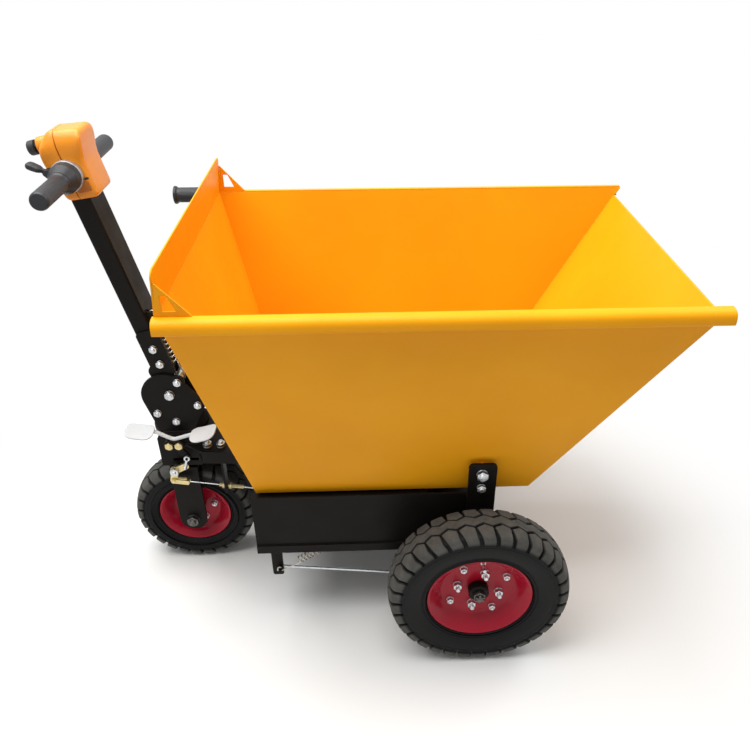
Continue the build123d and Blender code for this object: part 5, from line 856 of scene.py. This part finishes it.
def spring(low, high, hook, coil, turns, begins, ends):
    """Wire of a hooked spring.

    Along the axis h runs from pin to pin. The radius r goes from the hook's to the coil's and back, and the
    angle turns only between begins and ends: point = low + h along + r (across cos + aside sin).
    """
    length = np.linalg.norm(high - low)
    along = (high - low) / length
    aside = np.array(LEFT, float)
    across = np.cross(aside, along)
    coiled = np.linspace(begins, ends, turns * POINTS_PER_TURN)
    h = np.concatenate([np.linspace(0, begins, 8)[:-1], coiled, np.linspace(ends, 1, 8)[1:]])
    angle = (TURN * turns * np.clip((h - begins) / (ends - begins), 0, 1))[:, None]
    radius = np.interp(h, [0, begins, ends, 1], [hook, coil, coil, hook])[:, None]
    out = across * np.cos(angle) + aside * np.sin(angle)
    bend = np.linspace(0, HOOK_BEND, 22)[1:, None]
    over = across * np.cos(bend) + along * np.sin(bend)
    under = (across * np.cos(bend) - along * np.sin(bend))[::-1]
    wound = low + h[:, None] * length * along + radius * out
    line = np.concatenate([low + hook * under, wound, high + hook * over])
    return tube(line, np.concatenate([under, out, over]), WIRE_R)


STOP_PIN = np.array((-425.0, -20.0, 557.0))
LUG_X, LUG_Z = on_tiller(185, 29)
LUG_PIN = np.array((LUG_X, -20.0, LUG_Z))
wire = spring(STOP_PIN, LUG_PIN, hook=10.8, coil=7.0, turns=9, begins=0.2, ends=0.84)
tiller_spring = piece("tiller_spring", [wire], spring_zinc)
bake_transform(tiller_spring)

RELAY_EYE, FRAME_EYE = np.array((-214.0, 0.0, 148.0)), np.array((-96.0, 0.0, 224.0))
wires = [spring(RELAY_EYE + aside, FRAME_EYE + aside, hook=5.8, coil=8.0, turns=7, begins=0.38, ends=0.85)
         for aside in np.array([(0.0, -232.0, 0.0), (0.0, 232.0, 0.0)])]
return_springs = piece("return_springs", wires, spring_zinc)
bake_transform(return_springs)
print("springs made")

# %% [markdown]
# ## Grips
# Rubber grips are moulded with flutes that stop short of both ends. A smooth tube would look like bare
# pipe, so the radius of each grip is its outline less a ripple round it, and the ripple fades in and out
# along the bar.

# %% Fluted grips
FLUTES, FLUTE_HALF, FLUTE_FADE = 36, 0.25, 5


def grip(name, body, origin, axis, outline, cuts, begins, ends):
    """An outline (along, radius) spun about a bar with flutes that fade at both ends.

    The radius loses FLUTE_HALF (1 - cos(FLUTES x angle)) times a window, 0 at the ends and 1 between.
    """
    line, gone = measured(rounded(outline, cuts, 7))
    at = np.unique(np.concatenate([gone, np.arange(0, gone[-1], 2.5)]))
    along = np.interp(at, gone, line[:, 0])[:, None]
    radius = np.interp(at, gone, line[:, 1])[:, None]
    angle = np.linspace(0, TURN, 6 * FLUTES, endpoint=False)
    window = np.clip((along - begins) / FLUTE_FADE, 0, 1) * np.clip((ends - along) / FLUTE_FADE, 0, 1)
    radius = radius - FLUTE_HALF * (1 - np.cos(FLUTES * angle)) * window
    piece(name, [sheet(spun(along + 0 * angle, radius, origin, axis, angle))], grip_rubber, body)


BAR_S, BAR_T = 510, 2
BAR_X, BAR_Z = on_tiller(BAR_S, BAR_T)
BAR = (BAR_X, 0, BAR_Z)
fixed = [(47, 0), (47, 24), (52, 24), (56, 17.5), (190, 17.3), (195, 15), (195, 0)]
grip("fixed_grip", "tiller", BAR, LEFT, fixed, [0, 1.5, 1.5, 3, 2, 2, 0], begins=62, ends=186)
twist = [(90.4, 0), (90.4, 20), (94, 20), (98, 17.5), (190, 17.3), (195, 15), (195, 0)]
grip("throttle_grip", "throttle", BAR, RIGHT, twist, [0, 1.2, 1.2, 3, 2, 2, 0], begins=103, ends=186)
low, high = (np.array(c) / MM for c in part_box("lift_grip"))
root, tip = -high[0], -low[0]
lift = [(root, 0), (root, 17), (tip - 9, 17), (tip - 6, 20.6), (tip - 1, 20.6), (tip, 18), (tip, 0)]
lift_at = (0, (low[1] + high[1]) / 2, (low[2] + high[2]) / 2)
grip("lift_grip", "hopper", lift_at, (-1, 0, 0), lift, [0, 1.5, 2, 2, 1.2, 1.2, 0],
     begins=root + 4, ends=tip - 12)
print("grips made")

# %% [markdown]
# ## The tiller head
# The head is two plastic shells that meet in a seam, with soft corners and shoulders that lean in at the
# top. The solids have the same outline with small roundings, and a bevel would round the seam too. Each
# shell here is a slab whose outline draws in to a point on the seam, so that the seam stays flat while
# all other edges get a broad round.


# %% Slabs
def slab(outline, low, high, edge, middle=None, steps=5):
    """Plate with round edges, as (rows, columns, 3) of outline x, outline y and height.

    Towards each face the outline draws in to its middle by edge (1 - cos a), while the height ends
    edge (1 - sin a) short, for a from 0 to 90 degrees. Each face closes at the middle.
    """
    middle = outline.mean(0) if middle is None else np.array(middle, float)
    arm = outline - middle
    a = np.linspace(0, np.pi / 2, steps)
    draw = edge * (1 - np.cos(a))
    rest = edge * (1 - np.sin(a))
    draw = np.concatenate([draw[::-1], draw])[:, None]
    height = np.concatenate([low + rest[::-1], high - rest])
    part = np.maximum(1 - draw / np.linalg.norm(arm, axis=1), 0)
    ring = np.array([0, 0.4, 0.7, 0.88])[:, None]
    part = np.concatenate([ring * part[:1], part, ring[::-1] * part[:1]])
    height = np.concatenate([np.full(len(ring), low), height, np.full(len(ring), high)])
    flat = middle + arm * part[..., None]
    return np.concatenate([flat, np.broadcast_to(height[:, None, None], (*part.shape, 1))], -1)


def placed(local, origin, u, v, w=LEFT):
    """A grid of local coordinates on three directions from an origin."""
    return sheet(np.array(origin, float) + local @ np.array([u, v, w], float))


ACROSS = np.array((math.cos(LEAN), 0, math.sin(LEAN)))
UPWARD = np.array((-math.sin(LEAN), 0, math.cos(LEAN)))


def on_head(local):
    """A grid of (ahead, up, left) from the tiller's pivot, set on the leaning tiller."""
    return placed(local, (PIVOT[0], 0, PIVOT[1]), ACROSS, UPWARD)


print("slab helpers ready")

# %% Head shells, covers and screws
HEAD_Y, HEAD_ROUND, HEAD_MIDDLE = 45, 9, 520
SHOULDER = ([558, 568, 590], [1, 0.96, 0.66])


def shell(outline, cuts, inside):
    """A head shell: sides HEAD_Y from the middle, drawn in to two thirds above the shoulder."""
    local = slab(rounded(outline, cuts, 8), -HEAD_Y, HEAD_Y, HEAD_ROUND, (inside, HEAD_MIDDLE), 8)
    local[..., 2] *= np.interp(local[..., 1], *SHOULDER)
    return on_head(local)


def sleeve(outline, cuts, origin, axis):
    """A ring: a closed outline of (along, radius) with round corners, spun about an axis."""
    return revolved(rounded(outline, cuts, 5), origin, axis, 72)


front = [(3.3, 459.6), (41, 458), (41, 530), (50, 560), (54, 583), (3.3, 590.2)]
piece("head_front", [shell(front, [0, 10, 14, 10, 12, 0], 5.3)], orange_plastic, "tiller", sharp=30)
rear = [(2.7, 590.3), (-8, 592), (-33, 567), (-36, 540), (-22, 462), (2.7, 460.2)]
boss_x, boss_z = on_tiller(565, 0)
boss = [(15, 8.4), (15, 17), (44.9, 17), (44.9, 8.4)]
boss = sleeve(boss, [0.3, 0.3, 2.0, 0.5], (boss_x, 0, boss_z), -ACROSS)
piece("head_rear", [shell(rear, [0, 9, 13, 13, 10, 0], 0.7), boss], orange_plastic, "tiller", sharp=30)

# Switch cover: its darker tone is painted shade of the orange head
cover = slab(rounded([(6, 473), (34, 473), (34, 493), (6, 493)], 4, 6), -45.7, -43, 0.6)
piece("switch_cover", [on_head(cover)], shade_darkened_cover_plastic, "tiller")
# A black strip proud of the shell stands for a slot: it is a painted shadow
key = slab(rounded([(15, 495), (37, 495), (37, 499), (15, 499)], 1.9, 6), -45.5, -43, 0.4)
# The back of the rear shell leans back by BACK_LEAN over BACK_HIGH, from 22 behind the middle at 462 up
BACK_LEAN, BACK_HIGH = 14, 78
back_face = (-BACK_HIGH * ACROSS - BACK_LEAN * UPWARD) / math.hypot(BACK_HIGH, BACK_LEAN)
screw_at = []
for s in (474, 528):
    x, z = on_tiller(s, -22 - BACK_LEAN * (s - 462) / BACK_HIGH)
    screw_at += [(x, -32, z), (x, 32, z)]
screws = turned([disc(-2, 0.9, 3.8, 0.5), disc(0.9, 1.0, 1.2, 0.05)], screw_at, back_face, 24)
piece("head_trim", [on_head(key), screws], black_plastic, "tiller")

ring = sleeve([(45.4, 27), (45.4, 30), (55.5, 30), (55.5, 27)], [0.3, 1, 1, 0.3], BAR, RIGHT)
piece("collar_ring", [ring], cast_alloy, "tiller")
print("tiller head made")

# %% [markdown]
# ## Thumb lever
# The lever is a broad tongue that narrows to fit between its ears. A slab could give its outline but not
# its swelling, so its width and thickness are two curves along one line, and each cross-section is a
# rounded rectangle.

# %% Thumb lever
EAR_R, EAR_ANGLE = 33, math.radians(30.3)
LEVER_PIN = np.array((BAR_T - EAR_R * math.cos(EAR_ANGLE), BAR_S + EAR_R * math.sin(EAR_ANGLE)))
LEVER_TIP = np.array((-52.0, 546.0))
LEVER_Y, LEVER_END, EYE_R, SQUARE = -58, 39, 6, 0.6


def soft_square(wave):
    """A sine or cosine pushed outward to the power SQUARE, which makes a circle a rounded square."""
    return np.sign(wave) * np.abs(wave) ** SQUARE


reach = np.linalg.norm(LEVER_TIP - LEVER_PIN)
round_eye = EYE_R * -np.cos(np.linspace(0, np.pi / 2, 8))
d = np.concatenate([round_eye, np.linspace(1, reach, 24), [34, 35.5, 37, 38, 38.7, LEVER_END]])
end = np.sqrt(np.clip(1 - ((d - reach) / (LEVER_END - reach)).clip(0, 1) ** 2, 0, 1))
wide = np.interp(d, [-EYE_R, 7, 10, 13, 17], [4, 4, 6.5, 9.5, 11]) * end
swell = np.interp(d, [0, 9, 16, 28, LEVER_END], [EYE_R, 4, 5.5, 6.5, 5])
thick = np.where(d < 0, np.sqrt(np.clip(EYE_R ** 2 - d ** 2, 0, None)), swell) * end
angle = np.linspace(0, TURN, 40, endpoint=False)
across = wide[:, None] * soft_square(np.cos(angle)) + LEVER_Y
raised = thick[:, None] * soft_square(np.sin(angle))
along = (LEVER_TIP - LEVER_PIN) / reach
flat = LEVER_PIN + d[:, None, None] * along + raised[..., None] * np.array((-along[1], along[0]))
tongue = np.concatenate([flat, across[..., None]], -1)
piece("thumb_lever", [on_head(tongue)], black_plastic, "thumb")
print("thumb lever made")

# %% [markdown]
# ## Foot pedal
# One round bar is bent to a shallow V and carries a pressed paddle at each end. It is white, while the
# rocker that it is bolted to is black. One mesh with two materials would do, but a piece has one finish,
# so the solid becomes two pieces that move together.

# %% Pedal
PADDLES = (((-486, 448), (-548, 459)), ((-406, 437), (-347, 451)))
PADDLE_Y, PADDLE_HALF, PADDLE_ROUND, PADDLE_DISH = -92, 28, 21, 4.0
PEDAL_BAR = [(-528, 448), (-488, 443), (-452, 421), (-444, 421), (-408, 432), (-364, 441)]
PEDAL_BAR_Y, PEDAL_BAR_R = -80.0, 4.5
white = []
for inner, outer in np.array(PADDLES, float):
    half = np.linalg.norm(outer - inner) / 2
    run = (outer - inner) / (2 * half)
    outline = [(-half, -PADDLE_HALF), (half, -PADDLE_HALF), (half, PADDLE_HALF), (-half, PADDLE_HALF)]
    local = slab(rounded(outline, PADDLE_ROUND, 9), -2, 2, 1.6)
    local[..., 2] += PADDLE_DISH * (local[..., 0] / half) ** 2 - PADDLE_DISH
    x, z = (inner + outer) / 2
    rise = np.sign(run[0]) * np.array((-run[1], run[0]))
    white.append(placed(local, (x, PADDLE_Y, z + 2), (run[0], 0, run[1]), LEFT, (rise[0], 0, rise[1])))
bar = measured(rounded(PEDAL_BAR, [0, 8, 3.5, 3.5, 8, 0], 9))[0]
bar = np.insert(bar, 1, PEDAL_BAR_Y, 1)
white.append(tube(bar, LEFT, PEDAL_BAR_R, 20))
piece("brake_pedal", white, white_enamel, "pedal")
print("pedal made")

# %% Rocker
HUB, LINK_EYE = (-450, 398), (-426, 367)


def capsule(a, a_r, b, b_r, steps=14):
    """Outline of an arm with round ends: two arcs joined by the tangents that both circles share."""
    a, b = np.array(a, float), np.array(b, float)
    way = math.atan2(*(b - a)[::-1])
    lean = math.acos((a_r - b_r) / math.dist(a, b))
    first = way + np.linspace(lean, TURN - lean, steps)[:, None]
    last = way + np.linspace(-lean, lean, steps)[:, None]
    near = a + a_r * np.hstack([np.cos(first), np.sin(first)])
    far = b + b_r * np.hstack([np.cos(last), np.sin(last)])
    return np.concatenate([near, far])


def side_plate(outline, low, high, edge=1.0):
    """A plate seen from the side: its outline is (x, z) and its thickness lies along Y."""
    return placed(slab(outline, low, high, edge), (0, 0, 0), (1, 0, 0), UP)


rocker = [side_plate(capsule((-461, 404), 12.5, (-439, 404), 12.5), -84, -76.2)]
rocker.append(side_plate(capsule(HUB, 9, LINK_EYE, 7), -80, -74))
rocker.append(side_plate(capsule(HUB, 12.9, (-450, 400), 12.9), -76.5, -66.3))
rocker.append(turned([disc(74, 91, 3)], [(LINK_EYE[0], 0, LINK_EYE[1])], RIGHT))
piece("pedal_rocker", rocker, black_enamel, "pedal")
print("rocker made")

# %% [markdown]
# ## Brake cable
# The cable is a thin wire with a forked end at each side, and it runs through a threaded adjuster with
# two lock nuts. The forks are yellow and the wire is bright. They could share one mesh, but as separate
# pieces on the same body each keeps one finish.

# %% Cable, adjuster and crank nut
FORK, ARM = np.array((-469.0, -77.0, 296.0)), np.array((-220.0, -77.0, 252.0))
STOP_X, CABLE_R = -345.5, 1.5
FORK_PIN = [disc(-9, -7.2, 5), disc(-7.2, 8, 3), disc(8, 8.6, 2.4)]
wire_l = np.linalg.norm(ARM - FORK)
along = (ARM - FORK) / wire_l
above = (-along[2], 0, along[0])
forks = []
for pin_at, reach in ((0, 36), (wire_l, -22)):
    toward = math.copysign(1, reach)
    bridge = [(pin_at + reach - toward * a, b) for a, b in ((6, -6), (0, -6), (0, 6), (6, 6))]
    arm = capsule((pin_at, 0), 6, (pin_at + reach - 4 * toward, 0), 5.9)
    flats = [slab(arm, low, low + 3, 0.8) for low in (-7, 4)]
    flats.append(slab(rounded(bridge, 1.2, 5), -6.9, 6.9, 1.0))
    forks += [placed(flat, FORK, along, above) for flat in flats]
    forks.append(turned(FORK_PIN, [FORK + pin_at * along], LEFT))
piece("brake_cable", forks, yellow_zinc, "cable")
wire = FORK + np.linspace(33, wire_l - 19, 60)[:, None] * along
piece("cable_wire", [tube(wire, LEFT, CABLE_R, 12)], bright_zinc, "cable")

stop = (STOP_X - FORK[0]) / along[0]
screw = [thread(stop - 18, stop - 11, 4.5), nut(stop - 11, stop - 5, 14), disc(stop - 5, stop + 5, 4.5),
         nut(stop + 5, stop + 11, 14), thread(stop + 11, stop + 40, 4.5)]
piece("cable_adjuster", [turned(screw, [FORK], along)], yellow_zinc, "chassis")

crank_stud = [disc(60, 73.7, 6.5), disc(73.7, 80.3, 4.9), nut(80.3, 88.3, 19), thread(88.3, 91.5, 5)]
pedal_stud = [disc(60, 65.9, 11), disc(65.9, 75.6, 6.9)]
studs = [turned(crank_stud, [(-462, 0, 325)], RIGHT), turned(pedal_stud, [(HUB[0], 0, HUB[1])], RIGHT)]
piece("linkage_studs", studs, bright_zinc, "chassis")
print("cable made")

# %% [markdown]
# ## Rolled rims
# The sheet at each long edge of the hopper is rolled over on a press, so that the edge is stiff and safe
# to hold. Its wide soft bend makes the broad bright band along the top. The solid has a tighter bend. A
# bevel could not widen that, so the folded line is drawn with round corners, gets the sheet's thickness
# and runs straight along the hopper.

# %% Rolled rims
RAIL_X = (-359, 637)
RAIL_IN, RAIL_OUT, RAIL_TOP = 325.65, 350, 867
RAIL_FOOT, RAIL_RETURN = RAIL_TOP - 28, RAIL_OUT - 11
RAIL_BEND, RAIL_CURL, RAIL_T = 19, 6, 3
RAIL_FOLD = [(RAIL_IN, RAIL_TOP), (RAIL_OUT, RAIL_TOP), (RAIL_OUT, RAIL_FOOT), (RAIL_RETURN, RAIL_FOOT)]


def rail(side):
    """The folded line, and the same line moved in by one sheet along its normals, carried along x."""
    outer, length = measured(rounded(RAIL_FOLD, [0, RAIL_BEND, RAIL_CURL, 0], 12))
    way = np.gradient(outer, length, axis=0)
    way /= np.linalg.norm(way, axis=1, keepdims=True)
    inner = outer + RAIL_T * np.column_stack([way[:, 1], -way[:, 0]])
    middle = (outer + inner) / 2
    lines = [np.concatenate([middle[:1], line, middle[-1:]]) for line in (outer, outer, inner, inner)]
    along = np.array(RAIL_X)[[0, 1, 1, 0], None]
    y, z = np.moveaxis(np.array(lines), -1, 0)
    return sheet(np.stack([along + 0 * y, side * y, z], -1), wrap_rows=True, wrap_columns=False)


piece("rim_rails", [rail(1), rail(-1)], hopper_enamel, "hopper")
print("rolled rims made")

# %% [markdown]
# ## Weld beads
# Plates that meet at an angle are joined by a bead of weld under the paint. A bump on the plates would
# vanish in the corner, so a bead is a bar along it whose radius ripples, because it is laid in
# overlapping drops.

# %% Weld beads
BEAD_R, DROP, BEAD_FADE = 2.4, 4.0, 3
TABLE_T = 8
NECK_BOX = [(-431, -60, DECK_Z), (-400, -60, DECK_Z), (-400, 60, DECK_Z), (-431, 60, DECK_Z)]


def bead(points):
    """A rippled bar along straight runs that fades at its ends.

    Its radius is BEAD_R (0.85 + 0.15 |cos(pi x length / DROP)|).
    """
    corner = np.array(points, float)
    gone = np.concatenate([[0], np.cumsum(np.linalg.norm(np.diff(corner, axis=0), axis=1))])
    at = np.linspace(0, gone[-1], int(gone[-1] / DROP * 8))
    line = np.stack([np.interp(at, gone, corner[:, k]) for k in range(3)], -1)
    fade = np.sqrt(np.clip(np.minimum(at, gone[-1] - at) / BEAD_FADE + 0.05, 0, 1))
    ripple = BEAD_R * (0.85 + 0.15 * np.abs(np.cos(np.pi * at / DROP))) * fade
    return tube(line, UP, ripple, 12)


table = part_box("tiller_base")[0][2] / MM + TABLE_T
cheek_welds = [bead([(-481, m * CHEEK_Y, table), (-413, m * CHEEK_Y, table)]) for m in (-1, 1)]
piece("cheek_welds", cheek_welds, black_enamel, "steering")
piece("neck_welds", [bead(NECK_BOX)], black_enamel, "chassis")
print("welds made")
